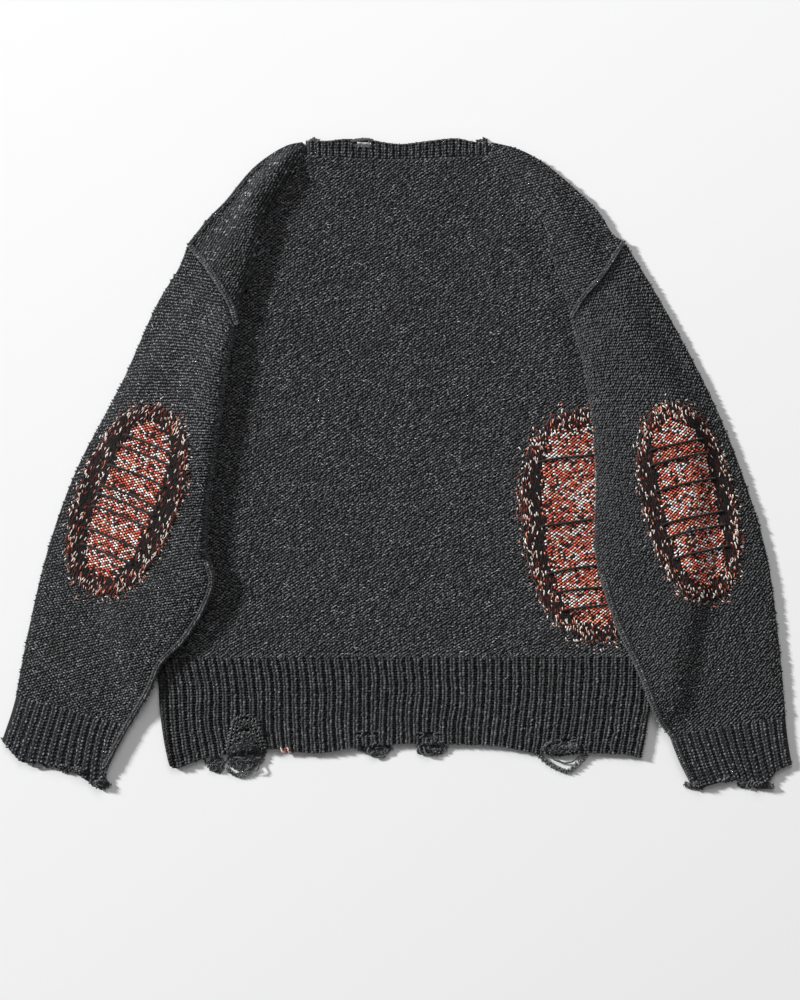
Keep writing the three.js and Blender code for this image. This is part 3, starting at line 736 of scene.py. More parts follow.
def build_back(materials):
    """The back panel: its main face and both shoulders' folds in one sheet."""
    flaps = {name: shoulder_grid(side) for name, side in SIDES.items()}
    main = back_grid(flaps["left"], flaps["right"])
    index = grid_index(*main.shape[:2])
    points, faces, uv = [main.reshape(-1, 3)], [quads(index)], [grid_lengths(main).reshape(-1, 2)]
    count = index.size
    for name, edge_column in (("left", 0), ("right", -1)):
        grid = flaps[name]
        own = grid[:, 1:]
        ids = count + grid_index(*own.shape[:2])
        ids = np.hstack([index[: SHOULDER_ROWS + 1, edge_column, None], ids])
        faces.append(quads(ids[:, ::-1] if name == "left" else ids))
        points.append(own.reshape(-1, 3))
        uv.append(grid_lengths(own).reshape(-1, 2))
        count += own.shape[0] * own.shape[1]
    return add_mesh("knit_back", np.concatenate(points), faces, materials["ground"], WOOL_GROUND_PAINTED_SHADE,
                    np.concatenate(uv), CLOTH)


def rib_start(x):
    """Y where the plain knitting gives way to the hem's ribs, a little different from rib to rib."""
    return RIB_LINE - 5 + 3.2 * slow_waves(x, np.zeros_like(x), 71, 9)


def back_spots():
    """Stitch places on the back's main face, as far as it shows and a little under the sleeves."""
    x, y = brick_lattice((-262, RIB_LINE - 9), (292, 336))
    left, right = SIDES["left"], SIDES["right"]
    low = np.where(y > left.inner.points[0, 1], left.ridge.x_at(y) - 2, left.inner.x_at(y) - 9)
    high = np.where(y > right.inner.points[0, 1], right.ridge.x_at(y) - 8, right.inner.x_at(y) + 9)
    top = np.interp(x, BAND_SEAM.points[:, 0], BAND_SEAM.points[:, 1]) - 1
    keep = (x > low) & (x < high) & (y < top) & (y > rib_start(x))
    return plane_spots(x[keep], y[keep], back_height)


def plane_spots(x, y, height):
    """Spots on a gently waving level surface given by its height."""
    z = height(x, y)
    slope_x = (height(x + 0.5, y) - z) * 2
    slope_y = (height(x, y + 0.5) - z) * 2
    flat = np.zeros_like(x)
    across = unit(np.stack([flat + 1, flat, slope_x], axis=-1))
    up = unit(np.stack([flat, flat + 1, slope_y], axis=-1))
    normal = unit(np.cross(across, up))
    return {"place": np.stack([x, y, z], axis=-1), "across": across, "up": up, "normal": normal}


def inside(points, outline):
    """Which points lie inside a closed outline."""
    x, y = points[:, 0, None], points[:, 1, None]
    (x0, y0), (x1, y1) = outline.T, np.roll(outline, -1, axis=0).T
    crossing = (y0 > y) != (y1 > y)
    reach = x0 + (y - y0) * (x1 - x0) / np.where(y1 == y0, 1, y1 - y0)
    return (crossing & (x < reach)).sum(axis=1) % 2 == 1


def shoulder_spots(tree, side, turn):
    """Stitch places on a shoulder, from round its ridge out to the seam, in rows turned by an angle."""
    ridge = side.ridge.points - [2.5 * side.hand if side.hand < 0 else 9, 0]
    outline = np.vstack([ridge, side.seam.points, side.shoulder.points[::-1]])
    reach = 130.0
    x, y = brick_lattice((-reach, -reach), (reach, reach))
    right = np.array([math.cos(turn), math.sin(turn), 0])
    up = np.array([-math.sin(turn), math.cos(turn), 0])
    plan = outline.mean(axis=0) + x[:, None] * right[:2] + y[:, None] * up[:2]
    plan = plan[inside(plan, outline)]
    height, normal = drop(tree, plan)
    on_cloth = height > EDGE_LOW
    place = np.column_stack([plan, height])[on_cloth]
    across, upwards = (np.broadcast_to(v, place.shape) for v in (right, up))
    return {"place": place, "across": across, "up": upwards, "normal": normal[on_cloth]}


def build_body(materials):
    back = build_back(materials)
    rng = np.random.default_rng(1)
    spots = back_spots()
    upper = spots["place"][:, 1] > 60
    parts = []
    for name, chosen in (("stitches_back_upper", upper), ("stitches_back_lower", ~upper)):
        stitches = Stitches()
        knit(stitches, {k: v[chosen] for k, v in spots.items()}, rng)
        parts.append(stitches.piece(name, materials["wool"]))
    stitches = Stitches()
    tree = tree_of(back)
    # The right shoulder's stitches are painted lighter than the left's: painted light standing in for light
    # on that side.
    for name, turn, tone, depth in (("left", 27, 0.97, 1.0), ("right", -18, 1.12, 0.66)):
        knit(stitches, shoulder_spots(tree, SIDES[name], math.radians(turn)), rng, tone, depth)
    parts.append(stitches.piece("stitches_shoulders", materials["wool"]))
    return back, parts


def build_front(materials):
    """The front panel, plain, under everything else."""
    q = np.linspace(0, 1, 56)[:, None]
    rows = []
    for s in np.linspace(0, 1, 14):
        ends = [side.shoulder.at(s) - [TUCK[0] * side.hand, TUCK[1]] for side in SIDES.values()]
        row = mix(*ends, q)
        neck = np.abs(row[:, 0]) < NECK_HALF + GAP
        drop = np.sqrt(np.clip(1 - (row[:, 0] / (NECK_HALF + GAP)) ** 2, 0, 1)) * FRONT_NECK_DROP
        row[:, 1] -= np.where(neck, drop * (1 - s), 0)
        rows.append(row)
    edges = []
    for side in SIDES.values():
        corner = side.shoulder.at(1) - [TUCK[0] * side.hand, TUCK[1]]
        valley = side.shoulder_point(np.array([PLEAT_ROW]), np.array([side.pleat - PLEAT_CLEAR]))[0]
        edges.append(Curve([corner, mix(corner, valley, 0.5), valley, *side.side.points[::20]]))
    for share in np.linspace(0, 1, 48)[1:]:
        rows.append(mix(edges[0].at(share), edges[1].at(share), q))
    plan = np.array(rows)
    grid = np.dstack([plan, np.full(plan.shape[:2], CLOTH / 2)])
    faces = quads(grid_index(*grid.shape[:2]))
    return add_sheet("knit_front", grid, faces, materials["ground"], WOOL, CLOTH)


# ---- Ribs ----
RIB_COLUMNS = 6  # grid columns in each rib
RIB_WALL = 1.9
RIB_WAVE = 1.0
RIB_FLOOR = BACK_FLOOR + 0.2  # middle of the cloth of the ribs that lie on the back's level
FRONT_RIB_WALL = CLOTH - 0.5
HEM_PITCH = 9.6  # across one rib
NECK_PITCH = 7.4
CUFF_PITCH = 8.6
HEM_TONE = 0.64  # how light the ribs' stitches are
NECK_TONE = 0.88
# The left cuff's stitches are painted lighter and the right's darker: painted light and shade, as light falls
# from the left.
CUFF_TONES = {"left": 1.25, "right": 0.86}
HEM_DEPTH = 118  # height of the hem's stitches
FRONT_NECK_RIBS = 36


def hem_plan(u, v):
    """Share u along the hem rib and share v down it."""
    left, right = SIDES["left"].hemSide, SIDES["right"].hemSide
    ends = HEM_EDGE.at([0, 1])
    bow = HEM_EDGE.at(u) - mix(ends[0], ends[1], u[..., None])
    plan = mix(left.at(v), right.at(v), u[..., None]) + bow * (v**2)[..., None] - [0, GAP]
    plan[..., 0] += 1.1 * slow_waves(plan[..., 0], plan[..., 1], 61, 38) * ease(v, 0, 0.2)
    return plan


def rib_wave(phase):
    """Height of ribbed cloth: broad round ribs with narrower gaps between them."""
    wave = np.cos(2 * math.pi * phase)
    return RIB_WAVE * (wave + 0.22 * wave**2)


def rib_fade(y):
    """The hem's ribs grow out of the plain knitting over the first rows."""
    return ease(RIB_LINE - y, -1, 13)


def in_holes(points, holes, shrink=0.0):
    inside = np.zeros(points.shape[:-1], bool)
    for x, y, width, height in holes:
        reach = ((points[..., 0] - x) / (width / 2 - shrink)) ** 2
        inside |= reach + ((points[..., 1] - y) / (height / 2 - shrink)) ** 2 < 1
    return inside


def build_hem(materials):
    columns = HEM_RIBS * RIB_COLUMNS
    u, v = np.meshgrid(np.linspace(0, 1, columns + 1), np.linspace(0, 1, 41))
    plan = hem_plan(u, v)
    wave = rib_wave(u * HEM_RIBS - 0.5)
    back = np.dstack([plan, RIB_FLOOR + wave * rib_fade(plan[..., 1])])
    index = grid_index(*u.shape)
    faces = quads(index)
    worn = in_holes(back.reshape(-1, 3)[faces].mean(axis=1), HEM_HOLES)
    pieces = [add_sheet("rib_hem_back", back, faces[~worn], materials["ground"], WOOL_GROUND_PAINTED_SHADE, RIB_WALL)]
    front = np.dstack([plan, CLOTH / 2 + 0.25 * wave])[:, ::2]
    front_faces = quads(grid_index(*front.shape[:2]))
    pieces.append(add_sheet("rib_hem_front", front, front_faces, materials["ground"], WOOL, FRONT_RIB_WALL))
    rng = np.random.default_rng(2)
    rows = int(HEM_DEPTH / RIB_ROW)
    rib, row = np.meshgrid(np.arange(HEM_RIBS), (np.arange(rows) + 0.5) / rows)
    place = lambda du, dv=0: hem_plan((rib + 0.5) / HEM_RIBS + du, row + dv)
    top = RIB_FLOOR + RIB_WALL / 2

    def lift(plan, crest):
        started = plan[:, 1] < rib_start(plan[:, 0]) + 1.5
        return np.where(started, top + RIB_WAVE * (0.2 + crest) * rib_fade(plan[:, 1]), 0)

    turned = SIDES["left"].hemSide
    shade = lambda plan: np.where(plan[:, 0] < turned.x_at(plan[:, 1]) + 9, 0.4, 1.0)
    stitches = rib_legs(place, HEM_PITCH, 1 / HEM_RIBS / HEM_PITCH, rng, lift, HEM_TONE, HEM_HOLES, shade)
    pieces.append(stitches.piece("stitches_hem", materials["rib_wool"]))
    return pieces


def rib_legs(place, pitch, per_mm, rng, lift, tone, holes=(), shade=None):
    """Stitches of a rib: on each crest two legs that make a V and lean off it, and a low bump in each gap,
    painted darker as shade in the groove.
    """
    stitches = Stitches()
    for hand, reach in ((-1, 0.2), (1, 0.2), (0, 0.5)):
        plan = place((hand or 1) * reach * pitch * per_mm).reshape(-1, 2)
        above = place((hand or 1) * reach * pitch * per_mm, -0.01).reshape(-1, 2)
        keep = ~in_holes(plan, holes, 0.5) & (lift(plan, 1) > 2)
        plan, above = plan[keep], above[keep]
        count = len(plan)
        up = unit(np.column_stack([above - plan, np.zeros(count)]))
        side = np.cross(up, [0, 0, 1.0])
        normal = unit(side * hand * 0.3 + [0, 0, 1.0])
        tint, fleck = melange(count, rng, plan, 0.8)
        if shade is not None:
            tint = tint * shade(plan)[:, None]
        angle = np.radians(rng.normal(32, 12, count))[:, None] * hand
        along = up * np.cos(angle) + side * np.sin(angle) if hand else side
        height = lift(plan, 0.8 if hand else -0.4)
        spot = np.column_stack([plan, height]) + rng.normal(0, 0.3, (count, 3)) * [1, 1, 0.5]
        length = (4.4 if hand else 3.8) * rng.uniform(0.85, 1.15, count)
        width = np.where(fleck, 0.28, 0.41 if hand else 0.2) * pitch * rng.uniform(0.8, 1.2, count)
        # Gap bumps take 0.65 of the tint: painted shade in the rib's groove.
        stitches.add(spot, along, normal, length, width, 1.5, tint * tone * (1 if hand else 0.65), BEAD)
    return stitches


def front_neck(inset, share):
    """The front neckline, as half an ellipse inside the shoulders, from right to left."""
    angle = -math.pi * np.asarray(share)
    return np.stack([(NECK_HALF - inset) * np.cos(angle),
                     BAND_END + (FRONT_NECK_DROP - inset) * np.sin(angle)], axis=-1)


def build_neckband(materials):
    """One ribbed ring: its back half on the back panel's level, its front half below."""
    back_columns = NECK_RIBS * RIB_COLUMNS
    front_columns = FRONT_NECK_RIBS * 4
    u = np.linspace(0, 1, back_columns + 1)
    f = np.linspace(0, 1, front_columns + 1)[1:-1]
    seam = np.vstack([BAND_SEAM.at(u), front_neck(0, f)])
    edge = np.vstack([BAND_EDGE.at(u), front_neck(BAND_WIDTH, f)])
    low = ease(np.minimum(f, 1 - f), 0, 0.05)
    level = np.concatenate([np.full(len(u), RIB_FLOOR), mix(BACK_FLOOR, CLOTH / 2, low)])
    wave = np.concatenate([0.8 * rib_wave(u * NECK_RIBS - 0.5), 0.2 * rib_wave(f * FRONT_NECK_RIBS)])
    rows = []
    for share in np.linspace(0, 1, 9):
        rows.append(np.column_stack([mix(seam, edge, share), level + wave]))
    grid = np.array(rows)
    index = grid_index(*grid.shape[:2], closed=True)
    faces = quads(index)
    worn = in_holes(grid.reshape(-1, 3)[faces].mean(axis=1), NECK_HOLES)
    tint = np.where(np.arange(grid.shape[1])[None, :, None] < len(u), RIB_GROUND_PAINTED_SHADE, WOOL)
    tint = np.broadcast_to(tint, grid.shape).reshape(-1, 3)
    band = add_sheet("rib_neck", grid, faces[~worn], materials["ground"], tint, RIB_WALL)
    rng = np.random.default_rng(3)
    rib, row = np.meshgrid(np.arange(NECK_RIBS), (np.arange(6) + 0.5) / 6)

    def place(du, dv=0.0):
        at = (rib + 0.5) / NECK_RIBS + du
        return mix(BAND_SEAM.at(at), BAND_EDGE.at(at), (1 - row - dv)[..., None])

    top = RIB_FLOOR + RIB_WALL / 2
    lift = lambda plan, crest: np.full(len(plan), top + 0.8 * RIB_WAVE * crest)
    stitches = rib_legs(place, NECK_PITCH, 1 / NECK_RIBS / NECK_PITCH, rng, lift, NECK_TONE, NECK_HOLES)
    return [band, stitches.piece("stitches_neck", materials["rib_wool"])]


# ---- Sleeves and cuffs ----
UPPER_COLUMNS = 36
UNDER_COLUMNS = 22
TURN_COLUMNS = 7
SLEEVE_ROWS = 116
CUFF_ROWS = 16
CUFF_CLEAR = 0.008  # share of a cuff left clear at the end of its sleeve


def tube_grid(shares, place, under, width, puff, back):
    """Middle of a flattened tube of cloth, row by row: under layer outwards, then upper layer back."""
    rows = []
    arc = np.radians(np.linspace(-90, 90, TURN_COLUMNS + 2)[1:-1])
    for s in shares:
        wide = width(s)
        span = wide - 2 * NOSE
        out = np.linspace(0, 1, UNDER_COLUMNS)
        distance = np.concatenate([NOSE + span * out, wide - NOSE + TURN * np.cos(arc), NOSE + span * back,
                                   NOSE - TURN * np.cos(arc[::-1])])
        above = np.concatenate([np.zeros(UNDER_COLUMNS), TURN + TURN * np.sin(arc), LAYER + puff(s, back),
                                TURN + TURN * np.sin(arc[::-1])])
        q = distance / wide
        level = np.full_like(q, s)
        rows.append(np.column_stack([place(level, q), under(level, q) + CLOTH / 2 + above]))
    return np.array(rows)


def sleeve_grid(side):
    def puff(s, q):
        crown = SLEEVE_CROWN * float(ease(s, 0, 0.12)) * (1 - 0.6 * float(ease(s, 0.85, 1)))
        plan = side.sleeve_point(np.full_like(q, s), q)
        waves = 0.9 * slow_waves(plan[:, 0], plan[:, 1], 31, 130) * ease(s, 0, 0.1)
        rolled = (1 - np.exp(-q * side.sleeve_width(s) / ROLL_RISE)) * (1 - ease(q, 0.1, 0.62))
        roll = side.roll * rolled * ease(s, -0.03, 0.06) * (1 - ease(s, 0.55, 0.92))
        return (crown + waves) * np.sin(math.pi * q) ** 0.6 + roll

    shares = mix(SEAM_SHARE, 1.0, np.linspace(0, 1, SLEEVE_ROWS))
    back = 0.5 + 0.5 * np.cos(math.pi * np.linspace(0, 1, UPPER_COLUMNS))
    return tube_grid(shares, side.sleeve_point, side.under_sleeve, side.sleeve_width, puff, back)


def upper_surface(grid, hand):
    """The part of a tube that shows from above, with its rounded edges, read from left to right."""
    first = UNDER_COLUMNS - 1
    upper = np.concatenate([grid[:, first:], grid[:, :1]], axis=1)
    if hand > 0:
        upper = upper[:, ::-1]
    return Surface(upper, upper.shape[1] // 2)


def tube_tint(grid, ground=WOOL_GROUND_PAINTED_SHADE):
    """Painted shade behind the stitches on the upper side, and the wool's own colour on the plain under side.
    """
    tint = np.empty_like(grid)
    tint[:] = ground
    tint[:, : UNDER_COLUMNS - 1] = WOOL
    return tint.reshape(-1, 3)


def build_sleeve(name, side, materials):
    grid = sleeve_grid(side)
    index = grid_index(*grid.shape[:2], closed=True)
    faces = quads(index if side.hand > 0 else index[:, ::-1])
    tube = add_sheet(f"knit_{name}_sleeve", grid, faces, materials["ground"], tube_tint(grid), CLOTH)
    surface = upper_surface(grid, side.hand)
    across, down = brick_lattice((surface.low.min(), 0), (surface.high.max(), surface.down[-1]))
    stitches = Stitches()
    spots = surface.spots(across, down)
    # Painted light and shade: the sleeves' stitches are painted lighter towards the shoulder and darker lower
    # down, and the left sleeve lighter than the right, as the light falls on them.
    lower = ease(60 - spots["place"][:, 1], 0, 120)[:, None]
    depth, tone = (0.9, mix(1.2, 1.0, lower)) if side.hand < 0 else (0.5, mix(1.04, 0.9, lower))
    knit(stitches, spots, np.random.default_rng(4 + int(side.hand)), tone, depth)
    return [tube, stitches.piece(f"stitches_{name}_sleeve", materials["wool"])]


def cuff_plan(side, s, q):
    inside = np.clip(q, 0, 1)
    ends = side.cuff.at([0, 1])
    worn = side.cuff.at(inside) - mix(ends[0], ends[1], inside[..., None])
    return mix(side.cuffInner.at(s), side.cuffOuter.at(s), q[..., None]) + worn * (s**2)[..., None]


def build_cuff(name, side, materials):
    width = lambda s: float(np.linalg.norm(side.cuffOuter.at(s) - side.cuffInner.at(s)))
    columns = CUFF_RIBS * RIB_COLUMNS

    def puff(s, q):
        fade = np.sin(math.pi * np.clip(q, 0, 1)) ** 0.3
        return (0.8 + SLEEVE_CROWN * 0.3 * (1 - s)) * fade + rib_wave(q * CUFF_RIBS - 0.5) * fade

    place = lambda s, q: cuff_plan(side, s, q)
    flat = lambda s, q: np.zeros_like(q)
    shares = mix(CUFF_CLEAR, 1.0, np.linspace(0, 1, CUFF_ROWS))
    grid = tube_grid(shares, place, flat, width, puff, np.linspace(1, 0, columns))
    index = grid_index(*grid.shape[:2], closed=True)
    faces = quads(index if side.hand > 0 else index[:, ::-1])
    tint = tube_tint(grid, RIB_GROUND_PAINTED_SHADE)
    tube = add_sheet(f"rib_{name}_cuff", grid, faces, materials["ground"], tint, RIB_WALL)
    rng = np.random.default_rng(12 + int(side.hand))
    rows = int(side.cuffInner.length / RIB_ROW)
    rib, row = np.meshgrid(np.arange(CUFF_RIBS), (np.arange(rows) + 0.4) / rows)

    def spot(du, dv=0.0):
        q = 1 - (rib + 0.5) / CUFF_RIBS if side.hand < 0 else (rib + 0.5) / CUFF_RIBS
        inner_share = NOSE / 110
        at = mix(inner_share, 1 - inner_share, q + du * (1 if side.hand > 0 else -1))
        return place(row + dv, at)

    tree = tree_of(tube)
    lift = lambda plan, crest: drop(tree, plan)[0]
    stitches = rib_legs(spot, CUFF_PITCH, 1 / CUFF_RIBS / CUFF_PITCH, rng, lift, CUFF_TONES[name])
    return [tube, stitches.piece(f"stitches_{name}_cuff", materials["rib_wool"])]


# ---- Places on what is already built ----
def tree_of(*pieces):
    """A search tree over pieces as shown, in the layout's millimetres."""
    points, faces = [], []
    graph = bpy.context.evaluated_depsgraph_get()
    for piece in pieces:
        shown = piece.evaluated_get(graph)
        mesh = shown.to_mesh()
        mesh.calc_loop_triangles()
        co = np.empty(len(mesh.vertices) * 3)
        mesh.vertices.foreach_get("co", co)
        tri = np.empty(len(mesh.loop_triangles) * 3, np.int32)
        mesh.loop_triangles.foreach_get("vertices", tri)
        faces.append(tri.reshape(-1, 3) + sum(len(p) for p in points))
        points.append(co.reshape(-1, 3) * 1000 - ORIGIN)
        shown.to_mesh_clear()
    return BVHTree.FromPolygons(np.concatenate(points).tolist(), np.concatenate(faces).tolist())


def drop(tree, plan):
    """Heights and normals of the uppermost surface under each place of a plan."""
    heights, normals = np.zeros(len(plan)), np.zeros((len(plan), 3))
    down = Vector((0, 0, -1))
    for i, (x, y) in enumerate(plan):
        hit, normal, _, _ = tree.ray_cast(Vector((x, y, 60)), down)
        heights[i] = hit.z if hit else 0
        normals[i] = normal if hit and normal.z > 0 else (0, 0, 1)
    return heights, normals


# ---- Darned patches ----
CORE_POWER = 2.8  # squareness of the patches' centres
SHEET_SHARE = 0.985  # share of an oval that its sheet covers; stray stitches reach past it
BRIGHTEST = 0.97  # no yarn reflects more
RUNG_RADIUS = 1.15
RUNG_LIFT = 2.3  # a rung's middle above the patch's sheet
# Where black yarns cross each centre, as shares of the oval's half length up from its middle.
RUNGS = {
    "back": (0.60, 0.05, -0.35, -0.53, -0.69),
    "left_sleeve": (0.62, 0.50, 0.28, 0.07, -0.02, -0.16, -0.40, -0.56),
    "right_sleeve": (0.60, 0.455, 0.19, -0.14, -0.28, -0.49),
}


class Oval:
    def __init__(self, middle, half, tilt, power, border, tone):
        self.middle, self.half, self.power = np.array(middle, float), half, power
        self.core = (half[0] - border[0], half[1] - border[1])
        # How much the centre's yarn is brightened: painted light.
        self.tone = tone
        angle = math.radians(tilt)
        self.up = np.array([-math.sin(angle), math.cos(angle)])
        self.right = np.array([math.cos(angle), math.sin(angle)])

    def place(self, across, up):
        return self.middle + across[..., None] * self.right + up[..., None] * self.up

    def rim(self, angle, reach=1.0):
        """Places round the outline, or at a share of the way out to it."""
        c, s = np.cos(angle), np.sin(angle)
        across = reach * self.half[1] * np.sign(c) * np.abs(c) ** (2 / self.power)
        return across, reach * self.half[0] * np.sign(s) * np.abs(s) ** (2 / self.power)

    def share(self, across, up):
        """0 in the middle and 1 on the outline."""
        return oval_share(across, up, self.half, self.power)

    def core_share(self, across, up):
        """0 in the middle and 1 where the border begins."""
        return oval_share(across, up, self.core, CORE_POWER)


def oval_share(across, up, half, power):
    return (np.abs(across / half[1]) ** power + np.abs(up / half[0]) ** power) ** (1 / power)


def choose(pick, *colours):
    """For each pick, the first colour whose limit is above it, or else the last colour."""
    tint = colours[-1]
    for limit, colour in colours[-2::-1]:
        tint = np.where((pick < limit)[:, None], colour, tint)
    return tint


def build_patch(name, tree, materials, shown):
    """A thin darned sheet on the cloth: a centre knitted in rust and cream, and a stitched black border."""
    oval = Oval(**PATCHES[name])
    turns, rings = 72, 18
    angle = np.linspace(0, 2 * math.pi, turns, endpoint=False)
    across, up = oval.rim(angle)
    share = np.linspace(0.02, SHEET_SHARE, rings)[:, None]
    plan = oval.place(across * share, up * share)
    height, _ = drop(tree, plan.reshape(-1, 2))
    grid = np.column_stack([plan.reshape(-1, 2), height + GAP + PATCH / 2])
    index = grid_index(rings, turns, closed=True)
    cap = index[0, :-1]
    flat_uv = np.stack([across * share, up * share], axis=-1).reshape(-1, 2)
    # The sheet under the strokes is painted very dark: painted shade in the gaps between them.
    sheet = add_mesh(f"darn_{name}", grid, [quads(index[:, ::-1]), cap[None, :]], materials["ground"],
                     MAROON * 0.35, flat_uv, PATCH)
    rng = np.random.default_rng(len(name))
    patch_tree = tree_of(sheet)
    stitches = Stitches()
    darn_centre(stitches, oval, patch_tree, rng, shown)
    darn_border(stitches, oval, patch_tree, rng, shown)
    darn_edge(stitches, oval, tree, rng, shown)
    parts = [stitches.piece(f"stitches_darn_{name}", materials["yarn"])]
    cords = Tubes()
    for height_share in RUNGS[name]:
        darn_rung(cords, oval, patch_tree, height_share, shown)
    parts.append(cords.piece(f"rungs_{name}", materials["yarn"]))
    return [sheet, *parts]


def laid(stitches, oval, tree, across, up, angle, length, width, height, tint, shown, shape=STROKE, lift=0.0):
    """Strokes of yarn on an oval, at an angle from its cross direction."""
    plan = oval.place(across, up)
    z, normal = drop(tree, plan)
    keep = shown(plan) & (z > EDGE_LOW)
    angle = angle[keep][:, None]
    flat = oval.right * np.cos(angle) + oval.up * np.sin(angle)
    along = np.column_stack([flat, np.zeros(len(flat))])
    place = np.column_stack([plan, z + lift])[keep]
    height = np.broadcast_to(height, len(keep))[keep]
    stitches.add(place, along, normal[keep], length[keep], width[keep], height, tint[keep], shape)


def darn_centre(stitches, oval, tree, rng, shown):
    reach = oval.half[0]
    across, up = brick_lattice((-reach, -reach), (reach, reach))
    ragged = 0.07 * slow_waves(across, up, 41, 22) + rng.normal(0, 0.03, len(across))
    keep = oval.core_share(across, up) < 1.0 + ragged
    across, up = across[keep], up[keep]
    count = len(across)
    cloud = slow_waves(across, up, 43, 34)
    pick = rng.random(count) - 0.2 * cloud
    tint = choose(pick, (0.33, CREAM), (0.54, SALMON), RUST)
    # A share of the centre's stitches is painted very dark maroon: painted shade in the gaps of the darn.
    tint = choose(rng.random(count), (0.14, MAROON * 0.3), tint) * oval.tone
    tint = tint * rng.uniform(0.8, 1.6, (count, 1))
    angle, length = rng.normal(0.32, 0.32, count), rng.uniform(3.1, 4.5, count)
    width, height = rng.uniform(2.6, 3.7, count), rng.uniform(1.2, 2.0, count)
    tint = np.minimum(tint, BRIGHTEST)
    laid(stitches, oval, tree, across, up, angle, length, width, height, tint, shown, PLUMP)


def darn_border(stitches, oval, tree, rng, shown):
    """Strokes up the border: mostly black, with white, pink and red ones crowding towards the outline."""
    reach_up, reach_across = oval.half[0], oval.half[1]
    across, up = np.meshgrid(np.arange(-reach_across, reach_across, 1.7), np.arange(-reach_up, reach_up, 3.3))
    across = (across + rng.normal(0, 0.5, across.shape)).ravel()
    up = (up + rng.uniform(-1.7, 1.7, up.shape)).ravel()
    share = oval.share(across, up)
    keep = (oval.core_share(across, up) > 1 + 0.08 * slow_waves(across, up, 41, 22)) & (share < SHEET_SHARE)
    across, up, share = across[keep], up[keep], share[keep]
    count = len(across)
    pick = rng.random(count) + 0.12 * slow_waves(across, up, 47, 16)
    rim = ease(share, 0.8, 0.94)
    tint = choose(pick, (0.07 + 0.15 * rim, CREAM), (0.09 + 0.2 * rim, SALMON),
                  (0.12 + 0.27 * rim, RUST * 0.5), (0.24 + 0.4 * rim, MAROON * 0.8), BLACK_YARN)
    tint = np.minimum(tint * rng.uniform(0.7, 1.2, (count, 1)), BRIGHTEST)
    light = tint[:, 0] > 0.2
    length = np.where(light, rng.uniform(3.2, 6.8, count), rng.uniform(6, 11, count))
    width = np.where(light, rng.uniform(1.2, 2.0, count), rng.uniform(1.5, 2.1, count))
    height = np.where(light, 1.7, 1.1)
    angle = math.pi / 2 + rng.normal(0, 0.3, count)
    laid(stitches, oval, tree, across, up, angle, length, width, height, tint, shown)


def darn_edge(stitches, oval, tree, rng, shown):
    """Short stray stitches that catch the patch down, across its outline."""
    around = 2 * math.pi * (oval.half[0] + oval.half[1]) / 2
    count = int(around / 0.8)
    angle = np.linspace(0, 2 * math.pi, count, endpoint=False)
    across, up = oval.rim(angle, SHEET_SHARE + rng.normal(0.01, 0.042, count))
    pick = rng.random(count)
    tint = choose(pick, (0.24, CREAM), (0.34, SALMON), (0.5, RUST * 0.6), BLACK_YARN)
    lean = np.arctan2(up / oval.half[0], across / oval.half[1]) * 0.5 + rng.normal(0, 0.5, count)
    length, width = rng.uniform(2.8, 5.6, count), rng.uniform(1.2, 1.9, count)
    laid(stitches, oval, tree, across, up, lean, length, width, 1.3, tint, shown, lift=0.3)


def darn_rung(cords, oval, tree, height_share, shown):
    """One thin black yarn across the centre."""
    up = height_share * oval.half[0]
    inside_core = max(0.0, 1 - abs(up / oval.core[0] * 0.96) ** CORE_POWER) ** (1 / CORE_POWER)
    limit = oval.core[1] * inside_core
    across = np.linspace(-limit - 5, limit + 5, 26)
    sag = up + 1.3 * slow_waves(across, np.full_like(across, up), 51, 60) - 1.6 * (across / (limit + 5)) ** 2
    plan = oval.place(across, sag)
    plan = plan[shown(plan)]
    if len(plan) < 4:
        return
    z, _ = drop(tree, plan)
    cords.add(np.column_stack([plan, z + RUNG_LIFT]), RUNG_RADIUS, BLACK_YARN)


# ---- Yarn ----
class Tubes:
    """Round yarns along paths, each closed at its ends."""

    SIDES = 6

    def __init__(self):
        self.points, self.faces, self.caps, self.tints = [], [], [], []
        self.count = 0

    def add(self, path, radius, tint, twist=0.0):
        path = np.asarray(path, float)
        along = unit(np.gradient(path, axis=0))
        side = unit(np.cross(along, [0, 0, 1.0]))
        other = np.cross(side, along)
        angle = np.linspace(0, 2 * math.pi, self.SIDES, endpoint=False)
        distance = np.cumsum(np.linalg.norm(np.diff(path, axis=0, prepend=path[:1]), axis=-1))
        ply = 1 + twist * np.cos(2 * (angle[None] - distance[:, None] * 0.9))
        taper = np.ones(len(path))
        taper[[0, -1]] = 0.55
        reach = (radius * taper[:, None] * ply)[..., None]
        ring = path[:, None] + (side[:, None] * np.cos(angle)[None, :, None]
                                + other[:, None] * np.sin(angle)[None, :, None]) * reach
        index = self.count + grid_index(len(path), self.SIDES, closed=True)
        self.faces.append(quads(index[:, ::-1]))
        self.caps += [index[0, :-1], index[-1, :-1][::-1]]
        self.points.append(ring.reshape(-1, 3))
        self.tints.append(np.broadcast_to(tint, (len(path) * self.SIDES, 3)))
        self.count += len(path) * self.SIDES

    def piece(self, name, material):
        return add_mesh(name, np.concatenate(self.points), [np.concatenate(self.faces), np.array(self.caps)],
                        material, np.concatenate(self.tints))


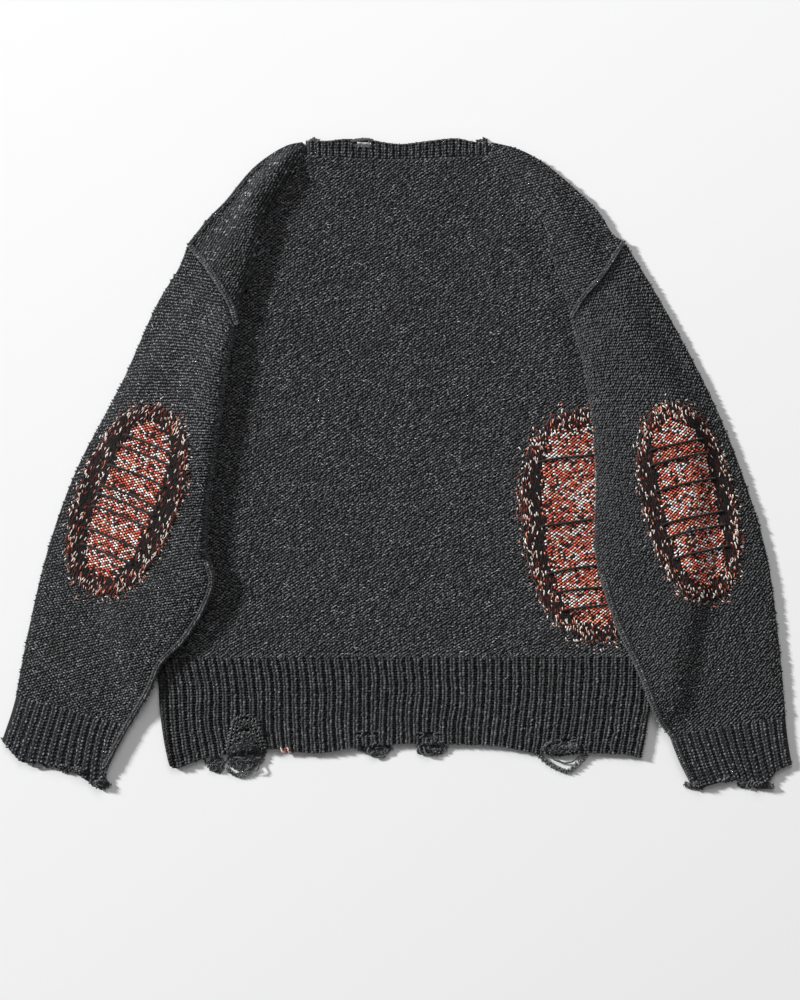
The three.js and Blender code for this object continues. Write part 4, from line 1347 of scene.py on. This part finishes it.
def seam_band(stitches, tubes, tree, plan, width, height, rng, tone=1.0):
    """A seam that stands up from the cloth: a soft roll with a herringbone of stitches along it."""
    plan = np.asarray(plan, float)
    step = np.linalg.norm(np.diff(plan, axis=0), axis=1)
    place = np.concatenate([[0], np.cumsum(step)])
    marks = np.arange(0, place[-1], 2.6)
    plan = np.stack([np.interp(marks, place, plan[:, k]) for k in range(2)], axis=-1)
    along = unit(np.gradient(plan, axis=0))
    side = np.stack([-along[:, 1], along[:, 0]], axis=-1)
    sample = [drop(tree, plan + side * width * k)[0] for k in (-0.5, 0, 0.5)]
    z = np.convolve(np.pad(np.max(sample, axis=0), 3, mode="edge"), np.ones(7) / 7, mode="valid")
    for hand in (-1, 1):
        path = np.column_stack([plan + side * hand * width * 0.24, z + height * 0.35])
        # The roll under the herringbone is painted at a fifth of the wool's colour: painted shade between its
        # stitches.
        tubes.add(path, width * 0.3, WOOL * 0.2 * tone)
        rows = np.column_stack([plan + side * hand * width * 0.26, z + height * 0.35 + width * 0.27])
        direction = np.column_stack([along * 0.6 + side * hand * 0.8, np.zeros(len(plan))])
        tint, _ = melange(len(plan), rng, rows)
        normal = unit(np.column_stack([side * hand * 0.45, np.ones(len(plan))]))
        rows = rows + rng.normal(0, 0.2, rows.shape)
        stitches.add(rows, unit(direction), normal, width * 0.58, 2.0, 1.1, tint * tone)


def build_seams(tree, materials):
    stitches, tubes = Stitches(), Tubes()
    rng = np.random.default_rng(6)
    q = np.linspace(0, 1, 30)
    for name, side in SIDES.items():
        armhole = side.seam.at(q)
        seam_band(stitches, tubes, tree, armhole, 6.0 if name == "left" else 5.0, 1.3, rng, 0.72)
        inset = np.array([side.hand * 3.2, 0.6])
        start = 0.56 if name == "left" else 0.6
        underarm = np.vstack([side.inner.at(mix(start, 1, q)), side.cuffInner.at(q[2:-1])]) + inset
        seam_band(stitches, tubes, tree, underarm, 5.6, 1.4, rng, 0.72)
    left = SIDES["left"]
    outline = left.shoulder.at(mix(0.3, 0.99, q)) + [2.0, -1.5]
    seam_band(stitches, tubes, tree, outline, 4.2, 1.2, rng, 0.45)
    return [stitches.piece("stitches_seams", materials["wool"]), tubes.piece("seam_rolls", materials["wool"])]


# ---- Frayed places ----
def tangle(tubes, rng, middle, reach, count, z, tint=WOOL, flat=0.35):
    """A knot of loose yarn: short arcs round a middle, one over another."""
    for _ in range(count):
        centre = np.array([*middle, z]) + rng.normal(0, 1, 3) * [reach[0] * 0.3, reach[1] * 0.3, 0.8]
        radius = rng.uniform(0.3, 0.85) * min(reach)
        turn, sweep = rng.uniform(0, 2 * math.pi), rng.uniform(1.4, 4.2)
        angle = turn + np.linspace(0, sweep, 11)
        wobble = 1 + 0.18 * np.sin(angle * 3 + turn)
        path = np.column_stack([centre[0] + radius * np.cos(angle) * wobble * reach[0] / min(reach),
                                centre[1] + radius * np.sin(angle) * wobble,
                                np.maximum(centre[2] + flat * radius * np.sin(angle * 1.7 + turn), 1.45)])
        tubes.add(path, rng.uniform(0.75, 1.15), tint * rng.uniform(0.55, 1.5), 0.16)


def loose_end(tubes, rng, points, radius=0.9, tint=WOOL):
    curve = Curve([p[:2] for p in points])
    share = np.linspace(0, 1, 22)
    height = np.interp(share, np.linspace(0, 1, len(points)), [p[2] for p in points])
    wobble = rng.normal(0, 0.25, (22, 2))
    tubes.add(np.column_stack([curve.at(share) + wobble, height]), radius, tint, 0.2)


def chain(stitches, rng, plan, z, size, tone=1.0):
    """A plaited run of stitches along a path."""
    count = len(plan)
    along = unit(np.gradient(plan, axis=0))
    side = np.stack([-along[:, 1], along[:, 0]], axis=-1)
    hand = np.where(np.arange(count) % 2, 1, -1)[:, None]
    height = np.maximum(np.broadcast_to(z, count), 0.4 * size)
    place = np.column_stack([plan + side * hand * size * 0.2, height])
    direction = np.column_stack([along + side * hand * 0.7, np.zeros(count)])
    normal = np.tile([0, 0, 1.0], (count, 1))
    tint, _ = melange(count, rng, place)
    stitches.add(place, unit(direction), normal, size * 1.3, size * 0.66, size * 0.45, tint * tone, BEAD,
                 size * 0.35)


def swirl(stitches, tree, rng, middle, reach, count, size=3.8, tone=0.8):
    """Gathered cloth: arcs of stitches that curl round a middle, one over another."""
    reach = np.array(reach, float)
    for layer in range(count):
        centre = np.array(middle) + rng.normal(0, 0.26, 2) * reach
        radius = rng.uniform(0.25, 0.75) * reach
        turn, sweep = rng.uniform(0, 2 * math.pi), rng.uniform(1.6, 3.8)
        steps = max(5, int(sweep * radius.mean() / (size * 0.5)))
        angle = turn + np.linspace(0, sweep, steps)
        plan = centre + np.stack([np.cos(angle), np.sin(angle)], axis=-1) * radius
        base = np.convolve(np.pad(drop(tree, plan)[0], 2, mode="edge"), np.ones(5) / 5, mode="valid")
        height = base + size * 0.4 + 2.4 * layer / count + 0.6 * np.sin(angle * 2 + turn)
        chain(stitches, rng, plan, height, size, tone)


# Frayed knots of the cuffs: middle, half width and half height, and how many arcs of yarn.
CUFF_KNOTS = [((-322, -349), (9, 6), 16), ((-375, -328), (16, 3), 10), ((-352, -334), (12, 4), 10),
              ((324, -351), (11, 5), 14), ((392, -350), (20, 5), 20), ((360, -344), (12, 3), 8)]


def build_frays(tree, materials):
    rng = np.random.default_rng(9)
    tubes, stitches = Tubes(), Stitches()
    edge = 4.0
    # Hem, from left to right: a small gap with its tuft, a big gathered knot, then three worn holes.
    swirl(stitches, tree, rng, (-198, -327), (11, 8), 14, 3.4)
    tangle(tubes, rng, (-198, -330), (9, 5), 5, edge)
    for row in range(9):
        y = -277 - row * 3.7
        half = 14 + row * 0.9
        bend = rng.uniform(-3, 3)
        arc = Curve([(-165 - half, y - 3), (-165, y + 4 + bend), (-165 + half, y - 3)])
        chain(stitches, rng, arc.at(np.linspace(0, 1, 16)), 9.6, 3.4, 0.75)
    swirl(stitches, tree, rng, (-165, -314), (21, 20), 44)
    tangle(tubes, rng, (-165, -326), (17, 10), 7, edge)
    for middle, reach in (((-23, -311), (19, 8)), ((36, -310), (16, 8)), ((181, -311), (21, 7))):
        swirl(stitches, tree, rng, middle, reach, 20, 3.4)
        tangle(tubes, rng, middle, reach, 5, edge)
    loop = Curve([(151, -314), (163, -325), (175, -332), (186, -335), (196, -328), (204, -320), (207, -316)])
    chain(stitches, rng, loop.at(np.linspace(0, 1, 26)), 3.2, 5.2)
    loose_end(tubes, rng, [(160, -312, 5), (172, -322, 4), (187, -326, 3), (199, -318, 4), (205, -311, 5)])
    for x, y, width, _ in HEM_HOLES:
        for hand in (-1, 1):
            loose_end(tubes, rng, [(x + hand * width * 0.5, y + 3, 7), (x + hand * width * 0.2, y + 1, 6.6),
                                   (x + hand * width * 0.35, y - 4, 7.2)])
    # Worn lower edges of the hem and the cuffs.
    for curve, count in ((HEM_EDGE, 250), *((side.cuff, 60) for side in SIDES.values())):
        plan = curve.at(np.linspace(0.004, 0.996, count)) + rng.normal(0, 0.45, (count, 2)) + [0, 1.2]
        height = np.clip(drop(tree, plan + [0, 2])[0], 3, 8) - 1.2
        chain(stitches, rng, plan, height, 3.6, 0.5)
    # Neck: yarn bridging the hole, and a tuft at the left end.
    bridge = [(-50, 351.5, 6.6), (-44, 353, 7), (-36, 353.8, 7), (-28, 352.8, 7), (-25, 351, 6.6)]
    loose_end(tubes, rng, bridge, 1.3)
    loose_end(tubes, rng, [(-49, 351, 6.6), (-40, 352.2, 7.6), (-31, 352.6, 7.6), (-26, 351, 6.6)], 1.1)
    tangle(tubes, rng, (-89, 352.5), (5, 2.4), 8, edge + 2)
    swirl(stitches, tree, rng, (92, 352.5), (7, 3), 6, 3.2)
    # Cuffs: frayed knots and ends at their worn edges.
    for middle, reach, count in CUFF_KNOTS:
        swirl(stitches, tree, rng, middle, reach, count, 3.2)
        tangle(tubes, rng, middle, reach, count // 4, edge)
    # A few red and white strands at the hem's edge.
    for x, colour in ((-124, CREAM), (-120, RUST), (-117, CREAM), (-114, MAROON)):
        loose_end(tubes, rng, [(x - 2, -309, 8.4), (x, -313.5, 7), (x + 3, -312.5, 5)], 0.9, colour * 0.9)
    return [tubes.piece("frayed_yarn", materials["yarn"]), stitches.piece("frayed_knit", materials["wool"])]


# ---- Everything together ----
def stand_for(piece, node, slot):
    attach(piece, "root")
    if node:
        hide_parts(node)


add_camera()
add_light("Key", (-13.2, 6.2, 6.8), 1.8, 3980)
add_light("Top", (0.2, 3.0, 3.2), 2.5, 60)
add_world(0.187)
bpy.context.scene.view_settings.view_transform = "Standard"
add_floor()

MATERIALS = {
    "wool": yarn_material("charcoal_wool", 0.25, 0.35),
    "rib_wool": yarn_material("charcoal_rib_wool", 0.1, 0.35),
    "yarn": yarn_material("darning_yarn", 0.15, 0.22),
    "ground": knit_ground_material(),
}

back, back_stitches = build_body(MATERIALS)
front = build_front(MATERIALS)
hem_back, hem_front, hem_stitches = build_hem(MATERIALS)
neck, neck_stitches = build_neckband(MATERIALS)
sleeves = {name: build_sleeve(name, side, MATERIALS) for name, side in SIDES.items()}
cuffs = {name: build_cuff(name, side, MATERIALS) for name, side in SIDES.items()}

right_inner = SIDES["right"].inner
patches = {}
for name in PATCHES:
    on_body = name == "back"
    under = tree_of(back) if on_body else tree_of(sleeves[name.split("_")[0]][0])
    seen = (lambda plan: plan[:, 0] < right_inner.x_at(plan[:, 1]) + 3) if on_body else (
        lambda plan: np.ones(len(plan), bool))
    patches[name] = build_patch(name, under, MATERIALS, seen)

cloth_tree = tree_of(back, *(s[0] for s in sleeves.values()), *(c[0] for c in cuffs.values()), hem_back)
seams = build_seams(cloth_tree, MATERIALS)
frays = build_frays(cloth_tree, MATERIALS)

for piece, node, slot in (
    (back, "back_panel", "knit"), (front, "front_panel", "knit"), (hem_back, "back_hem_rib", "rib"),
    (hem_front, "front_hem_rib", "rib"), (neck, "neckband", "rib"), (hem_stitches, None, "rib"),
    (neck_stitches, None, "rib"), *((p, None, "knit") for p in (*back_stitches, *seams)),
    *((p, None, "rib") for p in frays),
):
    stand_for(piece, node, slot)
for name in SIDES:
    stand_for(sleeves[name][0], f"{name}_sleeve", "knit")
    stand_for(sleeves[name][1], None, "knit")
    stand_for(cuffs[name][0], f"{name}_cuff", "rib")
    stand_for(cuffs[name][1], None, "rib")
for name, (sheet, *parts) in patches.items():
    stand_for(sheet, f"patch_{name}", "darn")
    for part in parts:
        stand_for(part, None, "darn")
